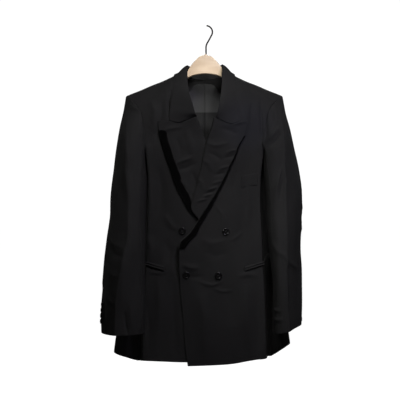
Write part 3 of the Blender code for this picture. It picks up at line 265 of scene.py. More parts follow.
FOLDS = {
    "front_left": folds("front", """
8 3 0 -66,-592 -68,-614 -66,-640 -63,-662
2.4 -3 0 100.2,-641.8 122,-636.7 147.6,-630.5
5 -2.2 0 124.5,-210.5 119.4,-241.3 122,-274.6
4 -2.4 0.3 146.3,-200.2 147.6,-251.5 148.9,-307.9
8 1.8 0 86,-174.6 137.3,-187.4 193.8,-207.9
10 1.6 0 98.9,-213 106.6,-256.6 98.9,-307.9
11 -2.4 0 80.9,-379.7 75.8,-423.3 86,-472.1
10 1.8 0 109.1,-415.6 114.3,-474.6 106.6,-528.5
4 1 0 68.1,-564.4 80.9,-556.7 96.3,-543.9
3.5 1.8 0.3 -14,-668.2 1.4,-674.6 19.4,-678.5 45,-669.5
24 -2 0 55.3,-682.3 70.7,-723.4 75.8,-784.9
3 1.5 0 24.5,-687.5 45,-695.2 70.7,-692.6
7 2.2 0 -55,-625.9 -37,-633.6 -14,-636.2
5 -1 0 -47.3,-651.6 -29.4,-659.3 -3.7,-656.7
13 3.2 0 -11.4,-697.7 1.4,-764.4 -3.7,-851.6
14 3.4 0 106.6,-677.2 109.1,-764.4 116.8,-846.5
9 -2 0 134.8,-692.6 139.9,-774.7 137.3,-851.6
8 1.3 0.2 -11.4,-559.2 19.4,-572.1 55.3,-564.4
9 -1 0 -1.1,-590 27.1,-605.4 60.4,-595.2
6 1.6 0 86,-656.7 111.7,-651.6 137.3,-656.7
4 1.3 0 27.1,-474.6 45,-497.7 50.1,-528.5
"""),
    "front_right": folds("front", """
2.8 -4 0 86,-178 92.5,-206 92,-250
3.6 -6.5 0 67,-588 71,-612 69,-640 64.5,-664
2 -2.2 0 153.8,-631.2 126.9,-636.8 99.9,-642
9 2 0 139.7,-200 126.9,-235.9 132,-292.4
8 -1.8 0 108.9,-205.1 111.5,-251.3 124.3,-307.8
12 -2.4 0 119.2,-372 108.9,-436.1 114.1,-500.3
10 2.2 0 139.7,-410.5 137.2,-474.6 142.3,-543.9
7 1.7 0 101.2,-500.3 83.3,-528.5 67.9,-536.2
10 -2 0 101.2,-564.5 88.4,-595.3 91,-626.1
12 2.8 0 119.2,-656.9 114.1,-733.9 124.3,-846.8
11 -2.8 0 83.3,-646.6 78.1,-744.1 75.6,-851.9
9 2 0 144.9,-554.2 134.6,-585 139.7,-620.9
5 -1.6 0 150,-718.5 142.3,-782.6 144.9,-846.8
4 1.4 0 139.7,-646.6 121.8,-647.9 98.7,-646.6
"""),
    "lapel_left": folds("front", """
3.2 1.8 0 55.1,-342.8 67.9,-336.4 83.3,-333.8
3.6 -1.4 0 50,-354.3 65.4,-351.8 78.2,-346.6
3.2 1.8 0 37.2,-383.7 50,-378.6 62.8,-376.1
4 -1.5 0 27,-397.8 39.8,-395.3 52.6,-392.7
2.8 1.7 0 21.9,-419.6 34.7,-415.7 44.9,-413.2
2.6 1.5 0 9.1,-436.2 21.9,-432.4 32.1,-428.5
3 -1.5 0 1.4,-445.2 14.2,-442.6 24.4,-438.8
2.8 1.7 0 -3.7,-454.1 9.1,-449 19.3,-446.4
2.6 1.6 0 -19.1,-465.6 -6.3,-461.8 6.5,-459.2
5 1.6 0 4,-315.9 29.5,-323.6 60.3,-315.9
6 -1.6 0 9.1,-339 29.5,-349.2 44.9,-362
5 1.5 0 -3.7,-359.4 11.6,-369.7 19.3,-390.1
4 1.4 0 -19.1,-405.5 -6.3,-418.3 -3.7,-436.2
4 1.6 0 73,-269.9 88.4,-263.5 106.3,-260.9
6 -1.4 0 44.9,-277.5 67.9,-285.2 85.8,-292.9
8 1.6 0 24.4,-252 16.7,-282.7 9.1,-308.3
"""),
    "lapel_right": folds("front", """
4.5 2.2 0 72.9,-369.6 55,-361.9 29.3,-351.6
6 -1.8 0 67.8,-384.9 47.3,-379.8 21.6,-367
5 1.6 0 106.2,-285 88.3,-278.6 57.5,-274.8
9 1.6 0 47.3,-282.4 37,-313.2 31.9,-343.9
8 -1.6 0 72.9,-302.9 62.6,-328.6 62.6,-349.1
6 1.5 0 62.6,-405.4 47.3,-425.9 39.6,-446.4
4 1.7 0 37,-451.6 24.2,-472 16.5,-495.1
5 -1.5 0 47.3,-456.7 37,-479.7 26.8,-497.7
6 -1.4 0 31.9,-390.1 21.6,-415.7 21.6,-441.3
"""),
    "sleeve_top_left": folds("front", """
5 -2.8 0.2 158.6,-206.1 159.9,-247 158.6,-303.3
4.5 3 0.2 193.1,-275.1 177.8,-293 157.4,-316.1
5 -2.4 0 200.8,-285.4 188,-305.8 167.6,-326.3
5 1 -0.35 200.8,-206.1 202.1,-334 203.4,-461.8 204.7,-584.5
3.2 2 0.2 195.7,-380 188,-410.7 179.1,-451.6
5 -1.8 0 205.9,-395.3 195.7,-431.1 188,-466.9
9 2.2 0 182.9,-497.6 188,-589.6 185.5,-691.9
10 -2.4 0 213.6,-620.3 216.2,-681.7 213.6,-763.5
4 1.8 0 167.6,-732.8 177.8,-739.2 190.6,-740.5
4 1.8 0 170.1,-758.4 180.4,-763.5 195.7,-762.2
6 1.8 0 198.3,-594.8 213.6,-620.3 236.6,-635.7
6 1.6 0 167.6,-564.1 182.9,-589.6 203.4,-605
7 2 0 172.7,-216.3 182.9,-236.8 185.5,-267.5
"""),
    "sleeve_top_right": folds("front", """
5 1 -0.35 204.5,-223 199.4,-296.7 190.5,-398.3 182.9,-474.5 179.1,-563.4
8 2 0 168.9,-238.2 161.3,-309.4 161.3,-411 161.3,-525.3
5 -1.8 0 152.4,-334.8 151.1,-411 151.1,-499.9
3 -2.6 0 198.1,-738.7 195.6,-766.7 190.5,-797.2
5 2 0 184.2,-715.9 181.6,-761.6 179.1,-794.6
3.5 2 0 160,-680.3 157.5,-731.1 158.8,-787
10 2.4 0 199.4,-578.7 204.5,-654.9 204.5,-720.9
9 -2.4 0 174,-593.9 171.5,-665 171.5,-726
7 0.9 0 245.1,-553.3 224.8,-573.6 196.9,-581.2
7 -0.8 0 245.1,-578.7 222.3,-599 194.3,-604.1
8 0.8 0 247.7,-634.6 227.3,-649.8 207,-652.3
6 0.7 0 250.2,-705.7 235,-715.9 214.6,-718.4
7 2 0 194.3,-215.4 174,-225.5 153.7,-240.8
"""),
    "lining_left": folds("front", """
3.4 -2.8 0 0.5,-140 1,-250 1,-370
"""),
    "lining_right": folds("front", """
3.2 -1.2 0 0.5,-140 1,-250 1,-370
"""),
    "back_left": folds("back", """
8 -1.5 0 3,-300 4,-430 3,-600
10 2.2 0.2 58,-232 96,-286 142,-330
8 -1.6 0 72,-262 108,-316 150,-352
9 2 0 12,-180 46,-174 84,-172
7 -1.4 0 14,-198 50,-193 92,-190
11 2.4 0.2 28,-566 82,-542 150,-500
9 1.9 0 52,-618 102,-588 158,-562
7 -1.5 0 70,-520 112,-500 150,-470
20 3.2 0 118,-640 124,-740 132,-850
16 -2.8 0 80,-660 78,-760 84,-852
17 2.6 0 38,-690 35,-770 37,-852
14 2.4 0 138,-340 132,-420 137,-510
12 -2 0 110,-350 106,-430 111,-500
"""),
    "back_right": folds("back", """
8 -1.3 0 3,-320 3,-450 4,-610
9 2.4 0.2 66,-226 100,-270 146,-306
9 -1.8 0 60,-256 102,-306 148,-340
10 1.8 0 10,-184 40,-176 78,-175
10 2.2 0.2 40,-546 96,-532 152,-486
8 2.1 0 34,-604 88,-584 156,-540
22 3 0 106,-630 110,-740 122,-848
15 -2.6 0 66,-670 68,-760 70,-852
18 2.8 0 142,-660 150,-760 158,-846
12 2.2 0 126,-350 122,-430 130,-490
14 -1.8 0 92,-330 90,-400 96,-470
"""),
    "side_left": folds("side", """
13 2.4 0 44,-410 32,-560 40,-700
10 2 0.2 -34,-520 10,-500 62,-468
9 -1.6 0 -20,-556 20,-540 66,-506
17 2.8 0 -8,-640 2,-750 -4,-850
14 -2.2 0 46,-690 50,-770 48,-850
"""),
    "side_right": folds("side", """
12 2.2 0 36,-390 40,-540 34,-660
11 2 0.2 -26,-500 16,-486 64,-450
15 2.6 0 8,-650 -4,-750 2,-846
12 -2 0 56,-680 54,-760 58,-840
"""),
    "sleeve_under_left": folds("back", """
7 2.2 0.2 166,-462 192,-476 228,-498
6 -1.8 0 162,-490 192,-500 230,-520
7 1.9 0 168,-524 198,-536 232,-546
11 2.2 0 182,-300 196,-370 202,-440
10 2 0 206,-600 214,-680 213,-770
8 -1.6 0 186,-620 192,-700 190,-770
""") + folds("side", """
8 1.8 0 10,-420 -16,-452 -30,-470
"""),
    "sleeve_under_right": folds("back", """
7 2 0.2 160,-452 188,-470 226,-480
7 2 0 164,-494 194,-514 230,-522
6 -1.6 0 164,-474 192,-494 228,-504
12 2 0 176,-290 188,-360 196,-420
12 2.2 0 200,-590 196,-680 202,-770
""") + folds("side", """
8 1.6 0 4,-410 -30,-440 -60,-456
"""),
    "collar_fall": folds("back", """
6 1 0 -44,-112 -4,-106 36,-111
5 -0.9 0 -30,-124 8,-121 48,-126
"""),
}
SLEEVE_BACK_FOLDS = folds("side", """
9 1.6 0 -14,-462 -34,-476 -62,-484
8 -1.3 0 -18,-492 -42,-506 -70,-510
8 1.4 0.2 -26,-526 -48,-538 -76,-536
13 2.2 0 -6,-240 -18,-330 -40,-430
11 -1.8 0 26,-250 20,-330 -2,-410
12 2 0 -72,-600 -84,-680 -88,-770
""") + folds("back", """
5 2 0 152,-216 178,-232 202,-264
8 1.4 0.2 200,-470 216,-484 230,-490
""")
FOLDS["sleeve_top_left"] += SLEEVE_BACK_FOLDS
FOLDS["sleeve_top_right"] += tuple(
    (view, width * 1.15, height * 0.85, lean, tuple((a - 4, z + 14) for a, z in line))
    for view, width, height, lean, line in SLEEVE_BACK_FOLDS
)
VIEWS = {"front": ((0, 2), (0, -1, 0)), "back": ((0, 2), (0, 1, 0)), "side": ((1, 2), (1, 0, 0))}
# Slow waves: their lengths across and down, start and height.
WAVES = ((131, 640, 0.4, 0.9), (-83, 410, 1.9, 0.6), (190, -260, 3.1, 0.7), (61, 230, 5.2, 0.3), (-150, 155, 2.2, 0.4))


def bent(t, width, values, slope, i):
    """Between value i and the next, a curve that has their slopes: t runs from 0 to 1 over the width."""
    start = (1 + 2 * t) * (1 - t) ** 2 * values[i] + t * (1 - t) ** 2 * width * slope[i]
    return start + t * t * (3 - 2 * t) * values[i + 1] + t * t * (t - 1) * width * slope[i + 1]


def smooth(xs, ys, x):
    """A curve through the points (xs, ys) that never overshoots them, read at x."""
    xs, ys = np.asarray(xs, float), np.asarray(ys, float)
    if xs[0] > xs[-1]:
        xs, ys = xs[::-1], ys[::-1]
    x = np.clip(x, xs[0], xs[-1])
    step = np.diff(xs)
    rise = np.diff(ys) / step
    slope = np.concatenate([rise[:1], np.zeros(len(rise) - 1), rise[-1:]])
    for i in range(1, len(rise)):
        if rise[i - 1] * rise[i] > 0:
            before, after = 2 * step[i] + step[i - 1], step[i] + 2 * step[i - 1]
            slope[i] = (before + after) / (before / rise[i - 1] + after / rise[i])
    i = np.clip(np.searchsorted(xs, x, side="right") - 1, 0, len(step) - 1)
    return bent((x - xs[i]) / step[i], step[i], ys, slope, i)


def read(rows, z, *names):
    """A table's columns, read at a height."""
    return [smooth(rows["z"], rows[name], z) for name in names]


def ease(value, start, end):
    """0 before start, 1 past end and smooth between."""
    t = np.clip((value - start) / (end - start), 0, 1)
    return t * t * (3 - 2 * t)


def unit(v):
    return v / np.maximum(np.linalg.norm(v, axis=-1, keepdims=True), 1e-9)


def between(start, end, parts):
    """Values from start to end at shares of the way."""
    return [start + (end - start) * part for part in parts]


def ridge_z(x):
    """Height of the shoulder line above x, read straight on towards the neck."""
    return RIDGE_Z - RIDGE_SLOPE * (abs(x) - RIDGE_AT) - RIDGE_DIP * (1 - ease(abs(x), 76, 94))


def cap(x, z):
    """How much of the full depth the cloth has reached at a height below the shoulder ridge."""
    below = np.clip((ridge_z(x) - z) / ROUND_DEPTH, 0, 1)
    return (1 - (1 - below) ** ROUND_LOW) ** ROUND_TOP


def trunk(column, z):
    return smooth(TRUNK["z"], TRUNK[column], z)


def overlap_lift(x, z):
    """How far the over-front stands off the base surface, to pass over the under-front and its lapel."""
    height = LIFT_LOW + (LIFT_HIGH - LIFT_LOW) * ease(z, *LIFT_Z)
    return height * (1 - ease(x, *LIFT_X)) * ease(-z, *LIFT_TOP)


def front_y(x, z, over=False):
    """Depth of the front face. It is crowned across the chest and rounds up to the shoulder ridge."""
    across = x / trunk("crease_x", z)
    depth = -trunk("crease_y", z) + CHEST_CROWN * (1 - across * across)
    return -depth * cap(x, z) - (overlap_lift(x, z) if over else 0)


def back_y(x, z):
    across = x / trunk("back_x", z)
    return (trunk("back_y", z) + BACK_CROWN * (1 - across * across)) * cap(x, z)


def side_point(t, z):
    """A point round the trunk's side: t is 0 at the pressed edge, 2 where it is widest and 3 at the back seam."""
    knots = (0, 1, 2, 3)
    xs = read(TRUNK, z, "crease_x", "mid_x", "side_x", "back_x")
    ys = [front_y(xs[0], z), *read(TRUNK, z, "mid_y", "side_y"), back_y(xs[3], z)]
    return np.array([smooth(knots, xs, t), smooth(knots, ys, t), z])


def surface_point(kind, a, z, over=False):
    """A point on the trunk: a is x on the front or back, or t round the side."""
    if kind == "side":
        return side_point(a, z)
    return np.array([a, front_y(a, z, over) if kind == "front" else back_y(a, z), z])


def surface_normal(kind, a, z, over=False):
    """The outward direction there, from small steps along the surface."""
    step = 0.02 if kind == "side" else 1.0
    across = surface_point(kind, a + step, z, over) - surface_point(kind, a - step, z, over)
    up = surface_point(kind, a, z + 1.0, over) - surface_point(kind, a, z - 1.0, over)
    normal = unit(np.cross(across, up))
    return -normal if kind == "back" else normal


def hem_z(t, side):
    """The hem's height, round the body from the front edge to the centre back."""
    return smooth(HEM["t"], HEM[SIDES[side]], t)


def sleeve_ring(side, z, angle):
    """A point on the hanging sleeve at a height: angle 0 is its outer side and 90 degrees its back."""
    x, y, half_x, half_y = read(SLEEVE[side], z, "x", "y", "half_x", "half_y")
    return np.array([x + half_x * math.cos(angle), y + half_y * math.sin(angle), z])


def clear_of_trunk(point, clear):
    """Moves a sleeve point out to where it just clears the trunk's side."""
    x, y, z = point
    crease = side_point(0, z)
    if y < crease[1] - CREASE_REACH:
        return point
    around = np.array([side_point(t, z)[:2] for t in np.linspace(0, 3, 13)])
    nearest = np.interp(max(y, crease[1]), around[:, 1], around[:, 0])
    short = nearest + clear - x
    push = (short + math.hypot(short, 7)) / 2
    return np.array([x + push * ease(y, crease[1] - CREASE_REACH, crease[1]), y, z])


def settle(points, side):
    """Carries the wearer's right side panel out near the hem, as it hangs in the photo."""
    if side > 0:
        return points
    out = ease(-points[..., 2], *SAG_Z) * ease(points[..., 0], *SAG_X)
    return points + np.stack([SAG_RIGHT * out, 0 * out, 0 * out], axis=-1)


def sleeve_grid(side, loop):
    """Rows down the sleeve, each with one point for each station of the armhole."""
    grid = np.empty((len(SLEEVE_ROWS), len(loop), 3))
    inner_cuff, outer_cuff = CUFF_Z[side]
    first = SEAM_TURN["armhole"][0]
    for j, start in enumerate(loop):
        angle = math.atan2((start[1] - ARM_MIDDLE[0]) / ARM_REACH[0], (start[2] - ARM_MIDDLE[1]) / ARM_REACH[1])
        if j in (0, len(loop) - 1):
            angle = 0.0
        offset = start - sleeve_ring(side, start[2], angle)
        turn = (-math.degrees(angle) - first) % 360 + first
        final = math.radians(-np.interp(turn, SEAM_TURN["armhole"], SEAM_TURN["cuff"]))
        cuff = inner_cuff + (outer_cuff - inner_cuff) * (1 + math.cos(final)) / 2
        angle = -math.radians(turn)
        grid[0, j] = start
        for i, v in enumerate(SLEEVE_ROWS[1:], 1):
            point = sleeve_ring(side, start[2] + (cuff - start[2]) * v, angle + (final - angle) * ease(v, 0.04, 0.96))
            fade = max(0.0, 1 - v / ARM_FADE) ** 2.4
            clear = SLEEVE_CLEAR if side > 0 else NESTLED + (SLEEVE_CLEAR - NESTLED) * ease(v, *NESTLED_TO)
            grid[i, j] = clear_of_trunk(point + offset * np.array([fade, fade, 0]), clear)
    return grid


def through(knots, values, at):
    """A smooth line through values at the knots, read at the given places. It never overshoots."""
    step = np.diff(knots).reshape(-1, 1, 1)
    rise = np.diff(values, axis=0) / step
    before, after = rise[:-1], rise[1:]
    slope = np.concatenate([rise[:1], np.zeros_like(after), rise[-1:]])
    parabola = (before * step[1:] + after * step[:-1]) / (step[1:] + step[:-1])
    most = 3 * np.minimum(abs(before), abs(after))
    slope[1:-1] = np.where(before * after > 0, np.clip(parabola, -most, most), 0)
    i = np.clip(np.searchsorted(knots, at, side="right") - 1, 0, len(knots) - 2)
    width = np.diff(knots)[i].reshape(-1, 1, 1)
    return bent((at - knots[i]).reshape(-1, 1, 1) / width, width, values, slope, i)


def steps_along(points, axis=0):
    """Distances from each point to the next."""
    return np.linalg.norm(np.diff(points, axis=axis), axis=-1)


def add_up(steps, axis=0):
    """Distances from the first point."""
    return np.insert(np.cumsum(steps, axis=axis), 0, 0, axis=axis)


def stations_along(grid, cell, edges):
    """Where a grid's rows lie by mean length, and where the finer rows go, closer together beside an edge."""
    knots = add_up(steps_along(grid).mean(axis=1))
    whole = knots[-1]
    at = list(np.linspace(0, whole, max(2, math.ceil(whole / cell)) + 1))
    if edges[0]:
        at += EDGE_STEPS
    if edges[1]:
        at += [whole - step for step in EDGE_STEPS]
    kept = [0.0]
    for place in sorted(at)[1:-1]:
        if place - kept[-1] > 0.25 and whole - place > 0.25:
            kept.append(place)
    return knots, np.array(kept + [whole])


def finer(grid, cell, edges):
    """The same surface with faces about cell wide. edges says which of top, bottom, first and last side are edges."""
    knots, at = stations_along(grid, cell, edges[:2])
    turned = through(knots, grid, at).transpose(1, 0, 2)
    knots, at = stations_along(turned, cell, edges[2:])
    return through(knots, turned, at).transpose(1, 0, 2)


def square_to(grid):
    return unit(np.cross(np.gradient(grid, axis=1), np.gradient(grid, axis=0)))


def away_from_middle(grid):
    """Directions square to a grid, pointing away from the middle of each row."""
    normals = square_to(grid)
    away = ((grid - grid.mean(axis=1, keepdims=True)) * normals).sum()
    return normals if away > 0 else -normals


def outward(grid, like):
    """Directions square to a grid. like is a direction that the middle one should agree with."""
    normals = square_to(grid)
    middle = normals[normals.shape[0] // 2, normals.shape[1] // 2]
    return -normals if np.dot(middle, like) < 0 else normals


def edge_distance(grid, edges):
    """How far each point is from the nearest of the piece's listed edges, along the cloth."""
    far = np.full(grid.shape[:2], 1e3)
    down, along = steps_along(grid), steps_along(grid, 1)
    runs = (add_up(down), add_up(down[::-1])[::-1], add_up(along, 1), add_up(along[:, ::-1], 1)[:, ::-1])
    for run, used in zip(runs, edges):
        if used:
            far = np.minimum(far, run)
    return far


def fold_height(flat, width, height, lean, line):
    """How far one fold raises each point of a flat view. Its two flanks may have different widths."""
    line = np.array(line)
    nearest = np.full(flat.shape[:-1], 1e9)
    signed, share = np.zeros_like(nearest), np.zeros_like(nearest)
    lengths = steps_along(line)
    starts = add_up(lengths)
    for a, b, length, start in zip(line, line[1:], lengths, starts):
        along = (b - a) / length
        off = flat - a
        t = np.clip(off @ along, 0, length)
        distance = np.linalg.norm(off - t[..., None] * along, axis=-1)
        side = np.sign(off[..., 0] * along[1] - off[..., 1] * along[0])
        nearer = distance < nearest
        nearest = np.where(nearer, distance, nearest)
        signed = np.where(nearer, side, signed)
        share = np.where(nearer, (start + t) / starts[-1], share)
    flank = width * (1 + lean * signed)
    ends = np.sin(math.pi * np.clip(share * 0.96 + 0.02, 0, 1)) ** 0.6
    return height * ends * np.exp(-((nearest / flank) ** 1.6))


def raised(points, normals, piece_folds):
    """The sum of a piece's folds, each seen flat from its own side."""
    height = np.zeros(points.shape[:-1])
    for view, *fold in piece_folds:
        axes, way = VIEWS[view]
        facing = ease(normals @ np.array(way, float), -0.05, 0.3)
        height += FOLD_DEPTH * facing * fold_height(points[..., axes], *fold)
    return height


def slow_waves(points):
    """A slight unevenness all over the cloth."""
    across = points[..., 0] + 0.7 * points[..., 1]
    height = np.zeros(points.shape[:-1])
    for wide, tall, start, size in WAVES:
        height += size * np.sin(2 * math.pi * (across / wide + points[..., 2] / tall) + start)
    return height


def measures(grid):
    """Distances across and down the cloth at each point, in metres, and the cloth's area in square metres."""
    across, below = add_up(steps_along(grid, 1), 1), add_up(steps_along(grid))
    sides = np.cross(grid[1:, :-1] - grid[:-1, :-1], grid[:-1, 1:] - grid[:-1, :-1])
    area = np.linalg.norm(sides, axis=-1).sum() * MM * MM
    across = across - across[:, grid.shape[1] // 2][:, None]
    return np.stack([across, below], axis=-1) * MM, area


def squared(angle, power):
    """A point of a rounded square of half width 1, at an angle."""
    point = np.stack([np.cos(angle), np.sin(angle)], axis=-1)
    return point * ((np.abs(point) ** power).sum(axis=-1) ** (-1 / power))[..., None]


def press(points, side):
    """Turns a sleeve's round outer front into two planes that meet at its pressed crease."""
    crease, power = PRESSED[side], INNER_SQUARE[side]
    z = points[..., 2]
    x, y, half_x, half_y = read(SLEEVE[side], z, "x", "y", "half_x", "half_y")
    crease_x, back = read(crease, z, "x", "back")
    across, deep = (points[..., 0] - x) / half_x, (points[..., 1] - y) / half_y
    size, angle = np.hypot(across, deep), np.arctan2(deep, across)
    start, turn = -np.arccos(np.clip((crease_x - x) / half_x, -0.6, 0.75)), np.arcsin(back) * 0.7
    share = np.clip((angle - start) / (turn - start), 0, 1)[..., None]
    first = squared(start, power)
    last = np.stack([np.ones_like(back), back], axis=-1)
    swell = PRESSED_SWELL * np.sin(math.pi * share) * np.array([1, -1])
    bend = np.clip((angle - turn) / (math.pi / 2 - turn), 0, 1) * math.pi / 2
    round_back = np.stack([np.cos(bend), back + (1 - back) * np.sin(bend)], axis=-1)
    plane = np.where((angle < turn)[..., None], first + (last - first) * share + swell, round_back)
    plane = np.where((angle < start)[..., None], squared(angle, power), plane)
    made = np.stack([x + plane[..., 0] * half_x * size, y + plane[..., 1] * half_y * size, z], axis=-1)
    much = (angle < math.pi / 2) * ease(-z, -crease["z"][0], 60 - crease["z"][0])
    return points + (made - points) * much[..., None]


def set_back(points):
    """Takes the cloth straight back just past the front's pressed edge, under the arm."""
    past = points[..., 0] - trunk("crease_x", points[..., 2])
    much = ease(past, *TURN_NEAR) * (1 - ease(past, *TURN_FAR)) * ease(-points[..., 2], *TURN_Z)
    hem = ease(-points[..., 2], *TURN_HEM)
    across, back, down = TURN_BACK
    return points + much[..., None] * np.stack([hem * 0 + across, hem * 0 + back, hem * down], axis=-1)


def placed(points, side=1):
    """Points as seen from the hook: on their own side, and carried over from the jacket's centre plane."""
    return np.asarray(points) * np.array([side, 1, 1]) + np.array([JACKET_X, 0, 0])


def put(name, data):
    """An object in the scene, at the origin."""
    item = bpy.data.objects.new(name, data)
    bpy.context.scene.collection.objects.link(item)
    return item


def wall_mesh(name, outer, inner, uv, material, side, seams):
    """A closed cloth piece from its outer and inner grids, with its flat measures as a UV map in metres.

    Free edges are rounded, and seamed ones run on a little to meet their neighbour.
    """
    rows, columns = outer.shape[:2]
    count = rows * columns
    index = np.arange(count).reshape(rows, columns)
    face = np.stack([index[:-1, :-1], index[:-1, 1:], index[1:, 1:], index[1:, :-1]], axis=-1).reshape(-1, 4)
    rim = np.concatenate([index[0], index[1:, -1], index[-1, -2::-1], index[-2:0:-1, 0]])
    beside = np.concatenate([index[1], index[1:, -2], index[-2, -2::-1], index[-2:0:-1, 1]])
    after = np.roll(rim, -1)
    middle = np.arange(2 * count, 2 * count + len(rim))
    next_middle = np.roll(middle, -1)
    faces = np.concatenate([
        face,
        face[:, ::-1] + count,
        np.stack([rim, middle, next_middle, after], axis=1),
        np.stack([middle, rim + count, after + count, next_middle], axis=1),
    ])
    flat_outer, flat_inner = outer.reshape(-1, 3), inner.reshape(-1, 3)
    centre = (flat_outer[rim] + flat_inner[rim]) / 2
    points = np.concatenate([flat_outer, flat_inner, centre])
    inward = unit(flat_outer[index[1:-1, 1:-1].reshape(-1)].mean(axis=0) - centre)
    pull = unit(flat_outer[beside] - flat_outer[rim] + 1e-6 * inward)
    sewn = np.zeros((rows, columns), bool)
    for part, used in zip((np.s_[0], np.s_[-1], np.s_[:, 0], np.s_[:, -1]), seams):
        sewn[part] |= bool(used)
    sewn = sewn.reshape(-1)[rim][:, None]
    for ring, free in ((rim, EDGE_PULL), (rim + count, EDGE_PULL), (middle, 0)):
        points[ring] += pull * np.where(sewn, -SEAM_MEET, free)
    points = placed(points, side) * MM
    a, b, c = (points[faces[:, k]] for k in range(3))
    if np.einsum("ij,ij->i", a, np.cross(b - a, c - a)).sum() < 0:
        faces = faces[:, ::-1]
    mesh = bpy.data.meshes.new(name)
    mesh.vertices.add(len(points))
    mesh.vertices.foreach_set("co", points.astype(np.float32).ravel())
    mesh.loops.add(faces.size)
    mesh.loops.foreach_set("vertex_index", faces.astype(np.int32).ravel())
    mesh.polygons.add(len(faces))
    mesh.polygons.foreach_set("loop_start", np.arange(0, faces.size, 4, dtype=np.int32))
    mesh.update(calc_edges=True)
    mesh.validate()
    mesh.shade_smooth()
    flat = uv.reshape(-1, 2)
    flat = np.concatenate([flat, flat, flat[rim]])
    layer = mesh.uv_layers.new(name="cloth")
    layer.data.foreach_set("uv", flat[faces.ravel()].astype(np.float32).ravel())
    mesh.materials.append(material)
    return put(name, mesh)


def cloth_piece(name, grid, material, side=1, wall=WALL, like=(0, -1, 0), edges=ALL_EDGES, cell=CELL, seams=NO_SEAMS,
                drop=EDGE_DROP, stitched=(), held="hung", rests_on="hanger_body"):
    """Makes a CAD node's cloth: finer faces, its folds, rounded edges and a thickness."""
    fine = finer(grid, cell, edges)
    if name.startswith("sleeve"):
        fine = press(fine, side)
    if name.startswith(("front", "side")):
        fine = set_back(fine)
    normals = outward(fine, like)
    waves = slow_waves(fine) * (-1 if name.startswith(("lining", "back_neck")) else 1)  # the lining moves with the back
    height = raised(fine, normals, FOLDS.get(name, ()))
    height = waves + (np.maximum(height, BACK_MOST) if name.startswith("back") else height)
    fine = fine + normals * height[..., None]
    uv, area = measures(fine)
    normals = outward(fine, like)
    near = np.clip(edge_distance(fine, edges) / EDGE_TURN, 0, 1)
    outer = fine - normals * (drop * (1 - near) ** 2)[..., None]
    item = wall_mesh(f"{name}_cloth", outer, fine - normals * wall, uv, material, side, seams)
    inset = len(EDGE_STEPS)
    inside, last = slice(inset, -inset), -1 - inset
    rows = (outer[inset, inside], outer[last, inside], outer[inside, inset], outer[inside, last])
    for edge in stitched:
        STITCH_LINES.append(placed(rows[edge], side))
    PIECES[name] = (item, np.ptp(uv[..., 0]), np.ptp(uv[..., 1]), area, held, rests_on)


def stations(kind, rows):
    """A table's rows as stations on one surface of the trunk."""
    return [(kind, a, z) for a, z in zip(*rows.values())]


def armhole(side):
    """The armhole's stations in order, from the shoulder tip down the front, under the arm and up the back."""
    ring = stations("front", ARM_FRONT) + stations("side", UNDERARM) + stations("back", ARM_BACK)[1:]
    points = np.array([surface_point(*station) for station in ring])
    normals = np.array([surface_normal(*station) for station in ring])
    points[0] = points[-1] = (ARM_FRONT["x"][0], 0, ridge_z(ARM_FRONT["x"][0]))
    normals[0] = normals[-1] = RIDGE_NORMAL
    grid = sleeve_grid(side, points)
    away = unit(grid[1] - grid[0])
    back_into_body = np.cross(normals, unit(np.gradient(points, axis=0)))
    flip = np.sign((back_into_body * (points - points.mean(axis=0))).sum(axis=1))
    apart = unit(away - back_into_body * flip[:, None]) * SEAM_GAP / 2
    return {"points": points, "apart": apart, "grid": grid}


def front_grid(side, hole):
    """A front's outer grid: columns to its pressed edge, then round to the side seam."""
    over = side > 0
    under = [station for station in stations("side", UNDERARM) if station[1] <= FRONT_SEAM_T]
    arm_rows, seam_top, seam_hem = len(ARM_FRONT["x"]), under[-1][2], hem_z(FRONT_SEAM_T, side)
    ends = stations("front", ARM_FRONT) + under
    ends += [("side", FRONT_SEAM_T - SEAM_T, z) for z in between(seam_top, seam_hem, SEAM_ROWS)]
    columns, past = 9, 2
    grid = np.empty((len(ends), columns + past, 3))
    for i, ((kind, a, z_end), z_in) in enumerate(zip(ends, (*INNER_ROWS, hem_z(-1.0, side)))):
        flat = kind == "front"
        x_in = smooth(INNER["z"], INNER["over" if over else "under"], z_in)
        crease_z = z_end if flat else z_end + 3 * (a / FRONT_SEAM_T)
        crease_x = a - 10 if flat else trunk("crease_x", crease_z)
        share = (crease_x - x_in) / ((a if flat else crease_x) - x_in)
        crease_z = z_in + (crease_z - z_in) * share
        for j in range(columns + past):
            if j < columns:
                part = j / (columns - 1)
                x, z = x_in + (crease_x - x_in) * part, z_in + (crease_z - z_in) * part
                z = hem_z(-1 + part, side) if i == len(ends) - 1 else z
                grid[i, j] = surface_point("front", x, z, over)
            else:
                part = (j - columns + 1) / past
                x, z = crease_x + (a - crease_x) * part, crease_z + (z_end - crease_z) * part
                grid[i, j] = surface_point("front", x, z, over) if flat else surface_point("side", a * part, z)
            if i == 0:
                grid[i, j] = (x, -SEAM_GAP / 2, ridge_z(x))
    last = arm_rows + len(under)
    grid[:last, -1] = hole["points"][:last] - hole["apart"][:last]
    # The row that ends at the pressed edge keeps its last columns close together there.
    start, end = grid[arm_rows, columns - 2].copy(), grid[arm_rows, -1].copy()
    for k in range(past):
        grid[arm_rows, columns - 1 + k] = end + (start - end) * 1.4 * (past - k) / np.linalg.norm(end - start)
    grid[0, -1, 1] -= SEAM_GAP
    return grid


